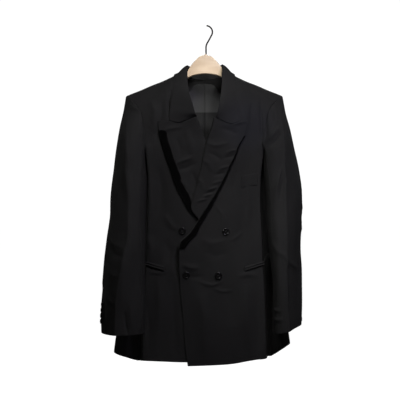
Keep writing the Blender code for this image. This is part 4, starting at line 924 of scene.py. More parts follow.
def side_grid(side, hole):
    """The side body panel between the front's side seam and the back seam."""
    ts = [t for t in UNDERARM["t"] if t >= FRONT_SEAM_T]
    first = len(ARM_FRONT["x"]) + list(UNDERARM["t"]).index(FRONT_SEAM_T)
    rows = (0.0, *SEAM_ROWS)
    grid = np.empty((len(rows), len(ts), 3))
    for j, t in enumerate(ts):
        held = t + SEAM_T if j == 0 else t - SEAM_T if j == len(ts) - 1 else t
        for i, z in enumerate(between(smooth(UNDERARM["t"], UNDERARM["z"], t), hem_z(t, side), rows)):
            grid[i, j] = surface_point("side", held, z)
    picked = slice(first, first + len(ts))
    grid[0] = hole["points"][picked] - hole["apart"][picked]
    grid[0, 0, 1] += SEAM_GAP / 2
    grid[0, -1, 1] -= SEAM_GAP / 2
    return grid


def back_grid(side, hole):
    """Half of the back, from the centre seam to the armhole and the back seam."""
    arm = stations("arm", ARM_BACK)[::-1]
    ends = arm + [("seam", None, z) for z in between(arm[-1][2], hem_z(BACK_SEAM_T, side), SEAM_ROWS)]
    centre_z = [-137, -150, -178, -213, -250, -288, -330]
    centre_z += between(centre_z[-1], hem_z(4.0, side), SEAM_ROWS)
    below_top = (0, 5, 14, 24, 34, 44, 54)  # each of the armhole's rows stays this far below the neck and shoulder
    parts = (0, 0.07, 0.14, 0.21, 0.27, 0.325, 0.43, 0.6, 0.8, 1)
    grid = np.empty((len(ends), len(parts), 3))
    neck_x, neck_z = COLLAR["neck_x"][:NECK], COLLAR["neck_z"][:NECK]
    for i, ((kind, x_end, z_end), z_mid) in enumerate(zip(ends, centre_z)):
        if kind == "seam":
            x_end = trunk("back_x", z_end) - SEAM_GAP / 2
        for j, part in enumerate(parts):
            x = SEAM_GAP / 2 + (x_end - SEAM_GAP / 2) * part
            z = z_mid + (z_end - z_mid) * part
            top = smooth(neck_x, neck_z, x) if x < neck_x[-1] else ridge_z(x)
            if i == 0:
                z = min(top, ridge_z(x))
            elif i < len(arm):
                z = min(z, top - below_top[i])
            if i == len(ends) - 1:
                z = hem_z(4 - part, side)
            grid[i, j] = surface_point("back", x, z)
            if i == 0 and x >= neck_x[-1]:
                grid[i, j] = (x, SEAM_GAP / 2, ridge_z(x))
            elif i == 0:
                grid[i, j, 1] = max(grid[i, j, 1], SEAM_GAP / 2)
    picked = len(hole["points"]) - 1 - np.arange(len(arm))
    grid[: len(arm), -1] = hole["points"][picked] - hole["apart"][picked]
    grid[0, -1, 1] += SEAM_GAP
    grid[len(arm) - 1, -1, 1] += SEAM_GAP / 2
    grid[:, 0, 0] = SEAM_GAP / 2
    return grid


def lapel_row(side, z_row, line):
    """One row of a lapel from its places across and out. The rows near the top follow the peak's edge."""
    top, peak = LAPEL[side]["z"][0], PEAK[side]
    falloff = max(0.0, 1 - (top - z_row) / PEAK_FADE) ** 2
    row = []
    for x, out in line:
        z = z_row + (smooth(peak["x"], peak["z"], x) - top) * falloff
        row.append((x, front_y(x, z, side > 0) - out, z))
    return row


def lapel_grid(side):
    """A lapel's face. It rolls out of the front's inner edge and lies back over the front."""
    grid = []
    for z_row, roll, edge, _ in zip(*LAPEL[side].values()):
        start, deep = roll + FOLD_RADIUS, LAPEL_OUT - FOLD_RADIUS
        line = [(start - FOLD_RADIUS * math.sin(a), deep + FOLD_RADIUS * math.cos(a)) for a in LAPEL_ARCS]
        line += [(start + (edge - start) * k / 6, LAPEL_OUT) for k in range(7)]
        grid.append(lapel_row(side, z_row, line))
    return np.array(grid)


def trim_grid(side):
    """The dark strip on a lapel's outer edge, laid on the lapel's face."""
    rows = LAPEL[side]
    grid = []
    for z_row, roll, edge, width in zip(*rows.values()):
        if z_row > -270:
            z_row = TRIM_TOP[side]
            edge = smooth(rows["z"], rows["outer"], z_row)
        elif z_row > (-305 if side > 0 else -300):
            continue
        line = np.linspace(max(edge - width, roll + FOLD_RADIUS), edge, 3)
        grid.append(lapel_row(side, z_row, [(x, LAPEL_OUT + TRIM_GAP + TRIM_WALL) for x in line]))
    return np.array(grid)


def collar_fold(k, side):
    """The collar's fold at one station."""
    return np.array([COLLAR["fold_x" if side > 0 else "fold_under"][k], COLLAR["fold_y"][k], COLLAR["fold_z"][k]])


def fall_row(k, side):
    """One station of the collar's fall, from the fold to the outer edge."""
    fold = collar_fold(k, side)
    behind, crossing = COLLAR["side"][k] > 0, k == RIDGE_STATION
    x, z = COLLAR["edge_x"][k], COLLAR["edge_z"][k]
    out = LAPEL_OUT + COLLAR_EASE[k]
    rest = back_y(x, z) + out if behind else front_y(x, z) - out
    edge = np.array([x, -2.0 if crossing else rest, z])
    row = []
    for part in np.linspace(0, 1, FALL_POINTS):
        p = fold + (edge - fold) * part
        p[2] += FALL_SWELL * math.sin(math.pi * min(part * 1.4, 1)) * (1 - part) * ease(-k, -9, -4)
        if crossing:
            p[2] = max(p[2], ridge_z(p[0]) + out)
        elif p[2] < ridge_z(p[0]) + out + 0.5:
            p[1] = max(p[1], back_y(p[0], p[2]) + out) if behind else min(p[1], front_y(p[0], p[2]) - out)
        row.append(p)
    return row


def gorge_row(side):
    """The collar's front end, along the gorge seam and up to its corner."""
    row = []
    for x in np.linspace(collar_fold(-1, side)[0] - 4.5, COLLAR_CORNER_X[side], FALL_POINTS):
        z = smooth(PEAK[side]["x"], PEAK[side]["z"], x) + SEAM_GAP + 0.5
        row.append(np.array([x, front_y(x, z, side > 0) - LAPEL_OUT, z]))
    return row


def stand_row(k, side):
    """One station of the stand, inside the fold."""
    fold = collar_fold(k, side)
    x, z = COLLAR["neck_x" if side > 0 else "neck_under"][k], COLLAR["neck_z"][k]
    neck = np.array([x, back_y(x, z) if COLLAR["side"][k] > 0 else front_y(x, z, side > 0), z])
    run = unit(neck - fold)
    return between(fold + run * 3.0, neck - run * 1.4, (0, 0.5, 1))


def round_the_neck(row_of, *last):
    """Joins a collar piece's two halves at the centre back."""
    half = {}
    for side in SIDES:
        rows = [row_of(k, side) for k in range(len(COLLAR["side"]))] + [row(side) for row in last]
        half[side] = np.array(rows) * np.array([side, 1, 1])
    return np.concatenate([half[-1][::-1], half[1][1:]])


def facing_bottom(x):
    return FACING_Z - FACING_DROP * ease(abs(x), *FACING_X)


def facing_grid():
    """The back-neck facing, a curved strip under the neckline."""
    grid = []
    for x in [-x for x in LINING_X[6::-1]] + list(LINING_X[:7]):
        top = smooth(COLLAR["neck_x"][:NECK], COLLAR["neck_z"][:NECK], abs(x)) - 1.5
        grid.append([(x, back_y(x, z) - WALL - LINING_OUT, z) for z in between(top, facing_bottom(x), (0, 0.5, 1))])
    return np.array(grid)


def lining_grid(side):
    """Half of the back lining, with its share of the centre pleat."""
    grid = []
    for x in LINING_X:
        top = min(facing_bottom(min(x, 52)) - 0.5, ridge_z(x) - 32)
        out = WALL + LINING_OUT + PLEAT_DEEP[side] * (1 - ease(x, 0.0, PLEAT_WIDE))
        grid.append([(x, back_y(x, z) - out, z) for z in between(top, LINING_END, np.linspace(0, 1, 7))])
    return np.array(grid)


def sleeve_grids(hole):
    """The top sleeve and the under sleeve, split at the forearm seam and the hindarm seam."""
    grid = hole["grid"].copy()
    grid[0] = hole["points"] + hole["apart"]
    over = list(range(HINDARM, len(hole["points"]))) + list(range(1, FOREARM + 1))
    for name, picked in (("top", over), ("under", list(range(FOREARM, HINDARM + 1)))):
        sheet = grid[:, picked].copy()
        start, end = unit(sheet[:, 1] - sheet[:, 0]), unit(sheet[:, -2] - sheet[:, -1])
        sheet[:, 0] += start * SEAM_GAP * 1.3
        sheet[:, -1] += end * SEAM_GAP * 1.3
        yield name, sheet


def pocket_place(side, part, height):
    """Along a jetted pocket: it slants up across the front, turns at the pressed edge and runs on round the side."""
    if part <= 0.5:
        share = part / 0.5
        z = POCKET_START[1] + (POCKET_CREASE - POCKET_START[1]) * share + height
        x = POCKET_START[0] + (trunk("crease_x", z) - POCKET_START[0]) * share
        normal = surface_normal("front", x, z, side > 0)
        if part == 0.5:
            normal = (normal + surface_normal("side", 0.05, z)) * 0.95
        return surface_point("front", x, z, side > 0), normal
    share = (part - 0.5) / 0.5
    z = POCKET_CREASE + (POCKET_END[1] - POCKET_CREASE) * share + height
    t = POCKET_END[0] * share
    normal = surface_normal("side", t, z)
    return surface_point("side", t, z) + normal * 1.1 * ease(share, 0, 0.4), normal


def jet_grid(side, low):
    """One lip of a pocket, folded over so that its middle stands proud."""
    grid = []
    for part in np.linspace(0, 1, 17):
        line = []
        for height, proud in ((low, JET_EDGE), (low + JET_WIDTH / 2, JET_PROUD), (low + JET_WIDTH, JET_EDGE)):
            place, off = pocket_place(side, part, height)
            line.append(place + off * (JET_GAP + JET_WALL * 0.6 + proud))
        grid.append(line)
    return np.array(grid)


def welt_grid():
    """The breast welt, laid on the wearer's left front."""
    grid = []
    for x, top, bottom in zip(*WELT.values()):
        row = [surface_point("front", x, z, True) for z in between(top, bottom, (0, 0.5, 1))]
        grid.append([point - np.array([0, 2.0, 0]) for point in row])
    return np.array(grid)


def add(tree, kind, *values, **named):
    """A new node. Its settings have names in lower case, and its inputs come in order or by name.

    An input takes a value, or is linked to another node's output.
    """
    made = tree.nodes.new(kind)
    for name in filter(str.islower, named):
        setattr(made, name, named[name])
    inputs = list(zip(made.inputs, values))
    inputs += [(made.inputs[name.replace("_", " ")], value) for name, value in named.items() if not name.islower()]
    for socket, value in inputs:
        if isinstance(value, bpy.types.NodeSocket):
            tree.links.new(value, socket)
        else:
            socket.default_value = value
    return made


def sums(tree, operation, *values):
    """A Math node over sockets or numbers."""
    return add(tree, "ShaderNodeMath", *values, operation=operation).outputs[0]


def noise(tree, vector, scale, detail, roughness):
    made = add(tree, "ShaderNodeTexNoise", Vector=vector, Scale=scale, Detail=detail, Roughness=roughness)
    return made.outputs["Fac"]


def mix_colours(tree, share, first, second):
    return add(tree, "ShaderNodeMix", data_type="RGBA", Factor=share, A=first, B=second).outputs["Result"]


def new_tree(name, kind, inputs, outputs):
    """A node group with its sockets, each a name, a kind and sometimes a value. Returns what goes in and its end."""
    tree = bpy.data.node_groups.new(name, kind)
    for way, sockets in (("INPUT", inputs), ("OUTPUT", outputs)):
        for label, holds, *value in sockets:
            socket = tree.interface.new_socket(name=label, in_out=way, socket_type=f"NodeSocket{holds}")
            if value:
                socket.default_value = value[0]
    return tree, add(tree, "NodeGroupInput").outputs, add(tree, "NodeGroupOutput").inputs


def weave_group():
    """Twill ribs and single yarns laid out on the cloth's flat measures, with slow mottling from its place, and painted
    shade between the yarns.
    """
    tree, given, done = new_tree(
        "twill_weave", "ShaderNodeTree",
        (("Cloth", "Vector"), ("Place", "Vector"), ("Ribs per metre", "Float", 900.0), ("Slant", "Float", 1.0),
         ("Dark", "Color"), ("Light", "Color"), ("Mottle", "Float", 0.25)),
        (("Color", "Color"), ("Height", "Float"), ("Rough", "Float")),
    )
    flat = add(tree, "ShaderNodeSeparateXYZ", given["Cloth"]).outputs
    ribs = given["Ribs per metre"]
    phase = sums(tree, "MULTIPLY", sums(tree, "MULTIPLY_ADD", flat["X"], given["Slant"], flat["Y"]), ribs)
    wave = sums(tree, "SINE", sums(tree, "MULTIPLY", phase, 2 * math.pi))
    cross = sums(tree, "SINE", sums(tree, "MULTIPLY", sums(tree, "MULTIPLY", flat["Y"], ribs), 4 * math.pi))
    rib = sums(tree, "MULTIPLY_ADD", cross, 0.14, sums(tree, "MULTIPLY_ADD", wave, 0.36, 0.5))
    slub = noise(tree, given["Place"], 420.0, 3.0, 0.6)
    height = sums(tree, "MULTIPLY", rib, sums(tree, "MULTIPLY_ADD", slub, 0.8, 0.6))
    slow = sums(tree, "MULTIPLY", noise(tree, given["Place"], 14.0, 4.0, 0.55), given["Mottle"])
    # painted shade: the colour darkens where the ribs' height is low, between the yarns, on top of the random mottling
    shade_and_mottle = sums(tree, "MULTIPLY_ADD", height, 0.7, slow)
    rough = sums(tree, "MULTIPLY_ADD", slub, 0.14, sums(tree, "MULTIPLY_ADD", height, -0.08, 0.82))
    tree.links.new(mix_colours(tree, shade_and_mottle, given["Dark"], given["Light"]), done["Color"])
    tree.links.new(height, done["Height"])
    tree.links.new(rough, done["Rough"])
    return tree


def new_material(name, **values):
    material = bpy.data.materials.new(name)
    material.use_nodes = True
    shader = next(n for n in material.node_tree.nodes if n.type == "BSDF_PRINCIPLED").inputs
    for key, value in values.items():
        shader[key.replace("_", " ")].default_value = value
    return material, material.node_tree, shader


def surface(tree, shader, colour, height, strength, depth):
    """Gives a shader its colour and its fine relief."""
    bump = add(tree, "ShaderNodeBump", Strength=strength, Distance=depth, Height=height)
    tree.links.new(colour, shader["Base Color"])
    tree.links.new(bump.outputs["Normal"], shader["Normal"])


def cloth_material(name, dark, light, ribs, slant, mottle, depth, below=None, **values):
    """A woven cloth. dark and light are the colours between its yarns and on them, which paints shade between the
    yarns, and below is a darker colour painted under a set height as painted shade.
    """
    material, tree, shader = new_material(name, **values)
    place = add(tree, "ShaderNodeTexCoord").outputs["Object"]
    weave = add(
        tree, "ShaderNodeGroup", node_tree=WEAVE, Place=place, Ribs_per_metre=ribs, Slant=slant, Mottle=mottle,
        Cloth=add(tree, "ShaderNodeUVMap", uv_map="cloth").outputs["UV"], Dark=(*dark, 1), Light=(*light, 1),
    ).outputs
    colour = weave["Color"]
    # painted shade: below a set height the colour turns to the darker below colour
    if below:
        height = add(tree, "ShaderNodeSeparateXYZ", place).outputs["Z"]
        step = add(tree, "ShaderNodeMapRange", Value=height, From_Min=LINING_SHADE_Z[0], From_Max=LINING_SHADE_Z[1])
        colour = mix_colours(tree, step.outputs["Result"], (*below, 1), colour)
    if "Roughness" not in values:
        tree.links.new(weave["Rough"], shader["Roughness"])
    surface(tree, shader, colour, weave["Height"], 0.6, depth)
    return material


def streaked_material(name, scale, detail, roughness, dark, light, depth, **values):
    """A turned or drawn surface, with fine streaks from dark to light."""
    material, tree, shader = new_material(name, **values)
    streak = noise(tree, add(tree, "ShaderNodeTexCoord").outputs["Object"], scale, detail, roughness)
    surface(tree, shader, mix_colours(tree, streak, (*dark, 1), (*light, 1)), streak, 0.15, depth)
    return material


def maple_material():
    """Pale varnished maple with its grain along the arms."""
    material, tree, shader = new_material("pale_maple", Roughness=0.55, Coat_Weight=0.18, Coat_Roughness=0.22)
    place = add(tree, "ShaderNodeTexCoord").outputs["Object"]
    stretched = add(tree, "ShaderNodeMapping", Vector=place, Scale=(14, 150, 190)).outputs["Vector"]
    grain = noise(tree, stretched, 1.0, 5.0, 0.62)
    rings = add(tree, "ShaderNodeTexWave", Vector=stretched, Scale=0.25, Distortion=5.0, Detail=2.0).outputs["Fac"]
    ramp = add(tree, "ShaderNodeValToRGB", sums(tree, "MULTIPLY_ADD", rings, 0.35, sums(tree, "MULTIPLY", grain, 0.6)))
    stops = ((0.2, (0.68, 0.545, 0.37, 1)), (0.75, (0.59, 0.45, 0.285, 1)))
    for element, (position, colour) in zip(ramp.color_ramp.elements, stops):
        element.position, element.color = position, colour
    surface(tree, shader, ramp.outputs["Color"], grain, 0.2, 0.0002)
    return material


LINING_SHADE_Z = (-0.2225, -0.2195)  # below this height, in metres, the lining's colour turns darker as painted shade inside the back
WEAVE = weave_group()
WOOL = cloth_material(
    "black_wool_twill", (0.0047, 0.0047, 0.0046), (0.0165, 0.0164, 0.0160), 900, 1.0, 0.14, 0.00010,
    Specular_IOR_Level=0.12,
)
# The facing's melton is painted far lighter than the wool, as painted light on the collar stand and back-neck facing in
# the hanger's shadow.
FACING = cloth_material(
    "dark_melton_facing", (0.022, 0.022, 0.022), (0.06, 0.06, 0.06), 1500, 0.3, 0.3, 0.00008,
    Specular_IOR_Level=0.08,
)
TRIM = cloth_material(
    "dark_trim_satin", (0.0007, 0.0007, 0.0007), (0.0018, 0.0018, 0.0017), 2200, 0.0, 0.2, 0.00004,
    Roughness=0.75, Specular_IOR_Level=0.015,
)
SATIN = cloth_material(
    "grey_lining_satin", (0.036, 0.0362, 0.0362), (0.089, 0.0895, 0.0895), 2600, 0.0, 0.5, 0.00003,
    # painted shade on the lining below the neck, where shade falls inside the back
    below=(0.020, 0.020, 0.0205), Roughness=0.5, Specular_IOR_Level=0.1,
)
HORN = streaked_material(
    "black_horn", 160.0, 4.0, 0.6, (0.0014, 0.0014, 0.0016), (0.005, 0.0047, 0.0045), 0.0002,
    Roughness=0.24, Specular_IOR_Level=0.2,
)
WIRE = streaked_material(
    "browned_wire", 300.0, 3.0, 0.7, (0.006, 0.005, 0.0045), (0.018, 0.014, 0.012), 0.0001,
    Metallic=0.35, Roughness=0.5, Specular_IOR_Level=0.25,
)
MAPLE = maple_material()
THREAD, _, _ = new_material(
    "black_silk_thread", Base_Color=(0.012, 0.012, 0.012, 1), Roughness=0.45, Specular_IOR_Level=0.2
)


def ring_piece(name, rings, ends, shift, material):
    """A closed solid through rings of points. Its two ends are points, or flat where none are given."""
    count, sides = len(rings), len(rings[0])
    last = (count - 1) * sides
    points = np.concatenate([np.concatenate(rings), ends]) if ends else np.concatenate(rings)
    faces = [] if ends else [tuple(range(sides)), tuple(last + sides - 1 - k for k in range(sides))]
    for k in range(sides):
        n = (k + 1) % sides
        if ends:
            faces += [(last + sides, n, k), (last + sides + 1, last + k, last + n)]
        faces += [(a + k, a + n, a + sides + n, a + sides + k) for a in range(0, last, sides)]
    mesh = bpy.data.meshes.new(name)
    mesh.from_pydata([tuple(point) for point in ((points + np.array([shift, 0, 0])) * MM).tolist()], [], faces)
    mesh.update()
    mesh.shade_smooth()
    mesh.materials.append(material)
    return put(name, mesh)


def circle(sides):
    """Cosines and sines once round."""
    return [(math.cos(a), math.sin(a)) for a in (2 * math.pi * k / sides for k in range(sides))]


def button(name, place, off, radius, height):
    """A turned four-hole button with a raised rim, and the thread that crosses its middle."""
    off = unit(np.asarray(off, float))
    helper = np.array([0, 0, 1.0]) if abs(off[2]) < 0.9 else np.array([1.0, 0, 0])
    e1 = unit(np.cross(helper, off))
    e2 = np.cross(off, e1)
    rings = [
        [place + (e1 * c + e2 * s) * radius * share + off * height * rise for c, s in circle(40)]
        for share, rise in BUTTON_SECTION[1:-1]
    ]
    for across, down in ((0.2, 0.2), (0.2, -0.2)):
        way = (e1 * across + e2 * down) * radius
        THREAD_LINES.append(placed([place + way * k + off * height * rise for k, rise in BUTTON_THREAD]))
    ring_piece(name, rings, [place, place + off * height * BUTTON_SECTION[-1][1]], JACKET_X, HORN)


def hanger_body():
    """The wooden hanger: an arched head and two sloping arms with rounded sections."""
    xs = np.concatenate([np.linspace(0, 60, 41), np.linspace(62, 180, 50), np.linspace(181, 186, 4)])
    half = np.stack([xs, *(smooth(HANGER["x"], HANGER[name], xs) for name in ("top", "bottom", "depth"))], axis=1)
    sections = np.concatenate([half[:0:-1] * np.array([-1, 1, 1, 1]), half])
    rings = []
    for x, top, bottom, depth in sections:
        top += 4.2 * math.exp(-((x / 2.4) ** 2))  # the small tip that holds the hook
        middle, reach = (top + bottom) / 2, (top - bottom) / 2
        round_off = min(depth, reach) * (0.24 + 0.7 * ease(abs(x), 40, 62))  # flat head, round arms
        ring = []
        for corner, (out, up) in enumerate(((1, 1), (1, -1), (-1, -1), (-1, 1))):
            for step in range(7):
                a = math.pi / 2 * (corner + step / 6)
                y = (depth - round_off) * out + round_off * math.sin(a)
                ring.append((x, y, middle + (reach - round_off) * up + round_off * math.cos(a)))
        rings.append(ring)
    ends = [(x + beyond, 0, top - 9) for (x, top, _, _), beyond in ((sections[0], -3), (sections[-1], 3))]
    return ring_piece("hanger_wood", rings, ends, JACKET_X + HANGER_X, MAPLE)


def hook_wire():
    """The wire hook: a round open bow that comes back over the middle and runs down into the hanger's head."""
    bow = [math.radians(degrees) for degrees in range(86, -36, -10)]
    path = [(HOOK_RADIUS * math.cos(a), HOOK_WIRE - HOOK_RADIUS + HOOK_RADIUS * math.sin(a)) for a in bow]
    path += [(9.8, -33.0), (5.2, -41.0), (1.4, -48.5), (0.0, -56.0), (0.0, HANGER["top"][0] + 0.3)]
    path = np.array(path)
    knots = add_up(steps_along(path))
    line = through(knots, path[:, None, :], np.linspace(0, knots[-1], 120))[:, 0]
    rings = []
    for k, ((x, z), (dx, dz)) in enumerate(zip(line, unit(np.gradient(line, axis=0)))):
        radius = 1.08 * HOOK_WIRE * (0.6 if k in (0, len(line) - 1) else 1.0)  # its two ends are blunt
        rings.append([(x - dz * radius * c, radius * s, z + dx * radius * c) for c, s in circle(16)])
    return ring_piece("hook_wire", rings, None, 0, WIRE)


def row_tree(name, sizes, lay):
    """A Geometry Nodes tree with lines and named sizes going in, and plain painted cloth thread coming out."""
    sizes = [(size, "Int" if size == "Seed" else "Float", value) for size, value in sizes]
    tree, given, done = new_tree(
        name, "GeometryNodeTree", (("Lines", "Geometry"), *sizes, ("Thread", "Material")), (("Made", "Geometry"),)
    )
    curve = add(tree, "GeometryNodeMeshToCurve", Mesh=given["Lines"]).outputs["Curve"]
    plain = add(tree, "GeometryNodeRealizeInstances", Geometry=lay(tree, given, curve)).outputs["Geometry"]
    paint = add(tree, "GeometryNodeSetMaterial", Geometry=plain, Material=given["Thread"])
    tree.links.new(paint.outputs["Geometry"], done["Made"])
    return tree


def lay_pick_stitches(tree, given, curve):
    """Short stitches, evenly spaced, each a little longer or shorter."""
    spots = add(tree, "GeometryNodeCurveToPoints", mode="LENGTH", Curve=curve, Length=given["Spacing"]).outputs
    turn = add(tree, "FunctionNodeAlignRotationToVector", axis="Z", Vector=spots["Tangent"]).outputs["Rotation"]
    vary = add(tree, "FunctionNodeRandomValue", Min=0.8, Max=1.15, Seed=given["Seed"]).outputs["Value"]
    length = sums(tree, "MULTIPLY", given["Length"], vary)
    size = add(tree, "ShaderNodeCombineXYZ", given["Thickness"], given["Thickness"], length).outputs["Vector"]
    grain = add(tree, "GeometryNodeMeshUVSphere", Segments=6, Rings=4, Radius=0.5).outputs["Mesh"]
    laid = add(
        tree, "GeometryNodeInstanceOnPoints", Points=spots["Points"], Instance=grain, Rotation=turn, Scale=size
    )
    return laid.outputs["Instances"]


def lay_button_thread(tree, given, curve):
    """A round thread along each line."""
    ring = add(tree, "GeometryNodeCurvePrimitiveCircle", Resolution=8, Radius=given["Thickness"]).outputs["Curve"]
    return add(tree, "GeometryNodeCurveToMesh", Curve=curve, Profile_Curve=ring, Fill_Caps=True).outputs["Mesh"]


def thread_piece(name, lines, tree, **sizes):
    """Runs a tree over its lines and keeps the result as a plain mesh."""
    points, edges = [], []
    for line in lines:
        edges += [(len(points) + k, len(points) + k + 1) for k in range(len(line) - 1)]
        points += [tuple(float(v) * MM for v in point) for point in line]
    mesh = bpy.data.meshes.new(f"{name}_lines")
    mesh.from_pydata(points, edges, [])
    item = put(name, mesh)
    change = item.modifiers.new("rows", "NODES")
    change.node_group = tree
    for socket in tree.interface.items_tree:
        if socket.in_out == "INPUT" and socket.name in sizes:
            change[socket.identifier] = sizes[socket.name]
    made = bpy.data.meshes.new_from_object(item.evaluated_get(bpy.context.evaluated_depsgraph_get()))
    item.modifiers.clear()
    item.data = made
    made.shade_smooth()
    return item


def face_out(item):
    """Turns a closed solid's faces outwards."""
    shape = bmesh.new()
    shape.from_mesh(item.data)
    bmesh.ops.recalc_face_normals(shape, faces=shape.faces)
    shape.to_mesh(item.data)
    shape.free()
    item.data.shade_smooth()


BODY_PIECES = (
    ("front", front_grid, (0, -1, 0), (1, 0, 0, 1)),
    ("side", side_grid, (1, 0, 0), (1, 0, 1, 1)),
    ("back", back_grid, (0, 1, 0), (1, 0, 1, 1)),
)
FOLDED, NARROW = {"held": "folded", "cell": NARROW_CELL}, {"drop": 0.3, "cell": JET_CELL}


def dress():
    """Makes every piece of cloth and every button."""
    for side, label in SIDES.items():
        hole = armhole(side)
        for part, grid_of, like, seams in BODY_PIECES:
            stitched = (2,) if part == "front" and side > 0 else ()
            grid = settle(grid_of(side, hole), side)
            cloth_piece(f"{part}_{label}", grid, WOOL, side, like=like, seams=seams, stitched=stitched)
        for part, grid in sleeve_grids(hole):
            like = (1, 0, 0) if part == "top" else (-1, 0, 0)
            cloth_piece(f"sleeve_{part}_{label}", grid, WOOL, side, like=like, seams=(1, 0, 1, 1))
        cloth_piece(f"lapel_{label}", lapel_grid(side), WOOL, side, edges=(1, 1, 0, 1), stitched=(0,), **FOLDED)
        cloth_piece(f"lapel_trim_{label}", trim_grid(side), TRIM, side, TRIM_WALL, cell=NARROW_CELL, drop=0.4,
                    held="laid", stitched=(2, 3), rests_on=f"lapel_{label}")
        cloth_piece(f"lining_{label}", lining_grid(side), SATIN, side, FACING_WALL, drop=0.3, seams=(1, 0, 0, 0))
        for part, low in (("upper", JET_SPLIT), ("lower", -JET_SPLIT - JET_WIDTH)):
            cloth_piece(f"pocket_jet_{part}_{label}", jet_grid(side, low), WOOL, side, JET_WALL, held="folded",
                        rests_on=f"front_{label}", **NARROW)
        hind = hole["grid"][:, HINDARM]
        normals = away_from_middle(hole["grid"])[:, HINDARM + 1]
        mirror = np.array([side, 1, 1])
        for k, z in enumerate(CUFF_BUTTON_Z):
            at, off = (np.array([np.interp(-z, -hind[:, 2], run[:, c]) for c in range(3)]) for run in (hind, normals))
            place = (at + off * CUFF_BUTTON_OFF[side]) * mirror
            button(f"cuff_button_{label}_{k + 1}_horn", place, off * mirror, CUFF_BUTTON_RADIUS, CUFF_BUTTON_HEIGHT)
    fall = round_the_neck(fall_row, gorge_row)
    cloth_piece("collar_fall", fall, WOOL, like=(0, 1, 0), stitched=(0, 1, 3), **FOLDED)
    stand = round_the_neck(stand_row)
    cloth_piece("collar_stand", stand, FACING, 1, STAND_WALL, like=(0, 1, 0), cell=NARROW_CELL, drop=0.2)
    cloth_piece("back_neck_facing", facing_grid(), FACING, 1, FACING_WALL, drop=0.2)
    cloth_piece("breast_welt", welt_grid(), WOOL, 1, WELT_WALL, cell=WELT_CELL, held="folded", stitched=(2, 3),
                rests_on="front_left")
    for k, (x, z, over, gap) in enumerate(zip(*FRONT_BUTTONS.values())):
        place = np.array([x, front_y(x, z, bool(over)) - gap, z])
        off = surface_normal("front", x, z, bool(over))
        button(f"front_button_{k + 1}_horn", place, off, BUTTON_RADIUS, BUTTON_HEIGHT)


# Each lamp's place, aim, size, colour and power. A size is an area's sides, or a spot's angle, soft edge and radius.
LAMPS = (
    ("key", (0.22, -1.4, 1.1), (0, 0, -0.35), (0.5, 0.4), (1, 0.99, 0.97), 11),
    ("top", (0.1, -0.9, 1.2), (0, 0, -0.3), (0.4, 0.3), (1, 0.99, 0.97), 15),
    ("cool", (0.75, -1.3, 0.55), (0.12, 0, -0.25), (0.3, 0.3), (0.84, 0.78, 1), 13),
    ("side", (-0.6, -1.3, 1.0), (0, 0, -0.35), (0.4, 0.4), (1, 1, 1), 2),
    ("fill", (0.0, -2.2, -0.1), (0, 0, -0.4), (0.5, 0.5), (1, 1, 1), 0.3),
    ("neck", (0.02, -2.3, 0.15), (0.005, 0.06, -0.214), (0.042, 0.4, 0.01), (1, 1, 1), 67),
    ("collar", (0.45, -2.2, 0.45), (0, 0, -0.165), (0.085, 1.0, 0.02), (1, 1, 1), 42),
    ("under", (0.0, -2.3, -0.6), (0.002, 0.03, -0.134), (0.04, 0.7, 0.01), (1, 1, 1), 45),
    ("navy", (0.5, -2.2, 0.3), (0.1, -0.06, -0.27), (0.08, 1.0, 0.02), (0.35, 0.42, 1), 60),
    ("sleeve", (-0.5, -1.6, 0.1), (0.19, -0.1, -0.57), (0.32, 1.0, 0.1), (1, 1, 1), 60),
    ("rear", (0, 2.9, 0.5), (0, 0, -0.45), (1.6, 1.2), (1, 1, 1), 40),
    ("wing_left", (2.4, 2.2, 0.4), (0, 0, -0.45), (1.2, 1.2), (1, 1, 1), 6),
    ("wing_right", (-2.4, 2.2, 0.4), (0, 0, -0.45), (1.2, 1.2), (1, 1, 1), 6),
)
FLOOR_Z, FLOOR_REACH = -1.35, 30.0
CAMERA_PLACE, VIEW_WIDTH = (-0.016, -2.45, -0.4618), 1.064  # metres, and the width seen at the jacket
SENSOR, CAMERA_REACH = 36.0, 100
ROOM_LIGHT, BACKDROP = 0.03, 1.05  # how bright the pale room is to the jacket, and as it is seen
WHITE = (1, 1, 1, 1)


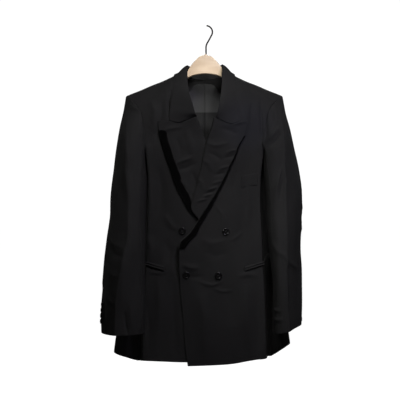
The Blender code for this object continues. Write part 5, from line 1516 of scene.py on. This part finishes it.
def stage():
    """A pale floor, soft light from the front and above, and the camera at the photograph's place."""
    scene = bpy.context.scene
    mesh = bpy.data.meshes.new("floor")
    corners = [(x * FLOOR_REACH, y * FLOOR_REACH, FLOOR_Z) for x, y in ((-1, -1), (1, -1), (1, 1), (-1, 1))]
    mesh.from_pydata(corners, [], [(0, 1, 2, 3)])
    material, tree, shader = new_material(
        "pale_floor", Base_Color=(0.12, 0.12, 0.12, 1), Roughness=0.9, Emission_Color=WHITE
    )
    seen = add(tree, "ShaderNodeLightPath").outputs["Is Camera Ray"]
    tree.links.new(seen, shader["Emission Strength"])
    mesh.materials.append(material)
    put("floor", mesh)
    scene.world = bpy.data.worlds.new("studio")
    scene.world.use_nodes = True
    tree = scene.world.node_tree
    tree.nodes.clear()
    seen = add(tree, "ShaderNodeLightPath").outputs["Is Camera Ray"]
    dim, bright = (add(tree, "ShaderNodeBackground", WHITE, strength).outputs[0] for strength in (ROOM_LIGHT, BACKDROP))
    add(tree, "ShaderNodeOutputWorld", add(tree, "ShaderNodeMixShader", seen, dim, bright).outputs[0])
    scene.view_settings.view_transform = "Standard"
    for name, place, aim, size, colour, power in LAMPS:
        light = bpy.data.lights.new(name, "AREA" if len(size) == 2 else "SPOT")
        light.energy, light.color = power, colour
        if len(size) == 2:
            light.shape, light.size, light.size_y = "RECTANGLE", *size
        else:
            light.spot_size, light.spot_blend, light.shadow_soft_size = size
        item = put(name, light)
        item.location = place
        item.rotation_mode = "QUATERNION"
        item.rotation_quaternion = Vector(np.array(aim) - np.array(place)).to_track_quat("-Z", "Y")
    camera = bpy.data.cameras.new("camera")
    camera.lens = SENSOR * -CAMERA_PLACE[1] / VIEW_WIDTH
    camera.clip_end = CAMERA_REACH
    scene.camera = put("camera", camera)
    scene.camera.location = CAMERA_PLACE
    scene.camera.rotation_euler = (math.pi / 2, 0, 0)


dress()
solid = [(hanger_body(), "hanger_body"), (hook_wire(), "hanger_hook")]
stage()

stitches = row_tree(
    "pick_stitches", (("Spacing", 0.0046), ("Length", 0.0018), ("Thickness", 0.00045), ("Seed", 7)), lay_pick_stitches
)
threads = row_tree("button_threads", (("Thickness", 0.0003),), lay_button_thread)
for item, slot in (
    (thread_piece("edge_stitches", STITCH_LINES, stitches, Thread=THREAD), "black_wool"),
    (thread_piece("button_threads", THREAD_LINES, threads, Thread=THREAD), "button_horn"),
):
    face_out(item)
    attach(item, "root")
for item in list(bpy.data.objects):
    if item.name.endswith("_horn"):
        solid.append((item, item.name[: -len("_horn")]))
for item, node in solid:
    face_out(item)
    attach(item, "root")
    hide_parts(node)
for node, (item, across, length, area, held, rests_on) in PIECES.items():
    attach(item, "root")
    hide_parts(node)
    length = max(length, area / across * 1.01)
    across, length = max(float(across), 0.0105), max(float(length), 0.0105)
    float(max(area, 0.31 * across * length))
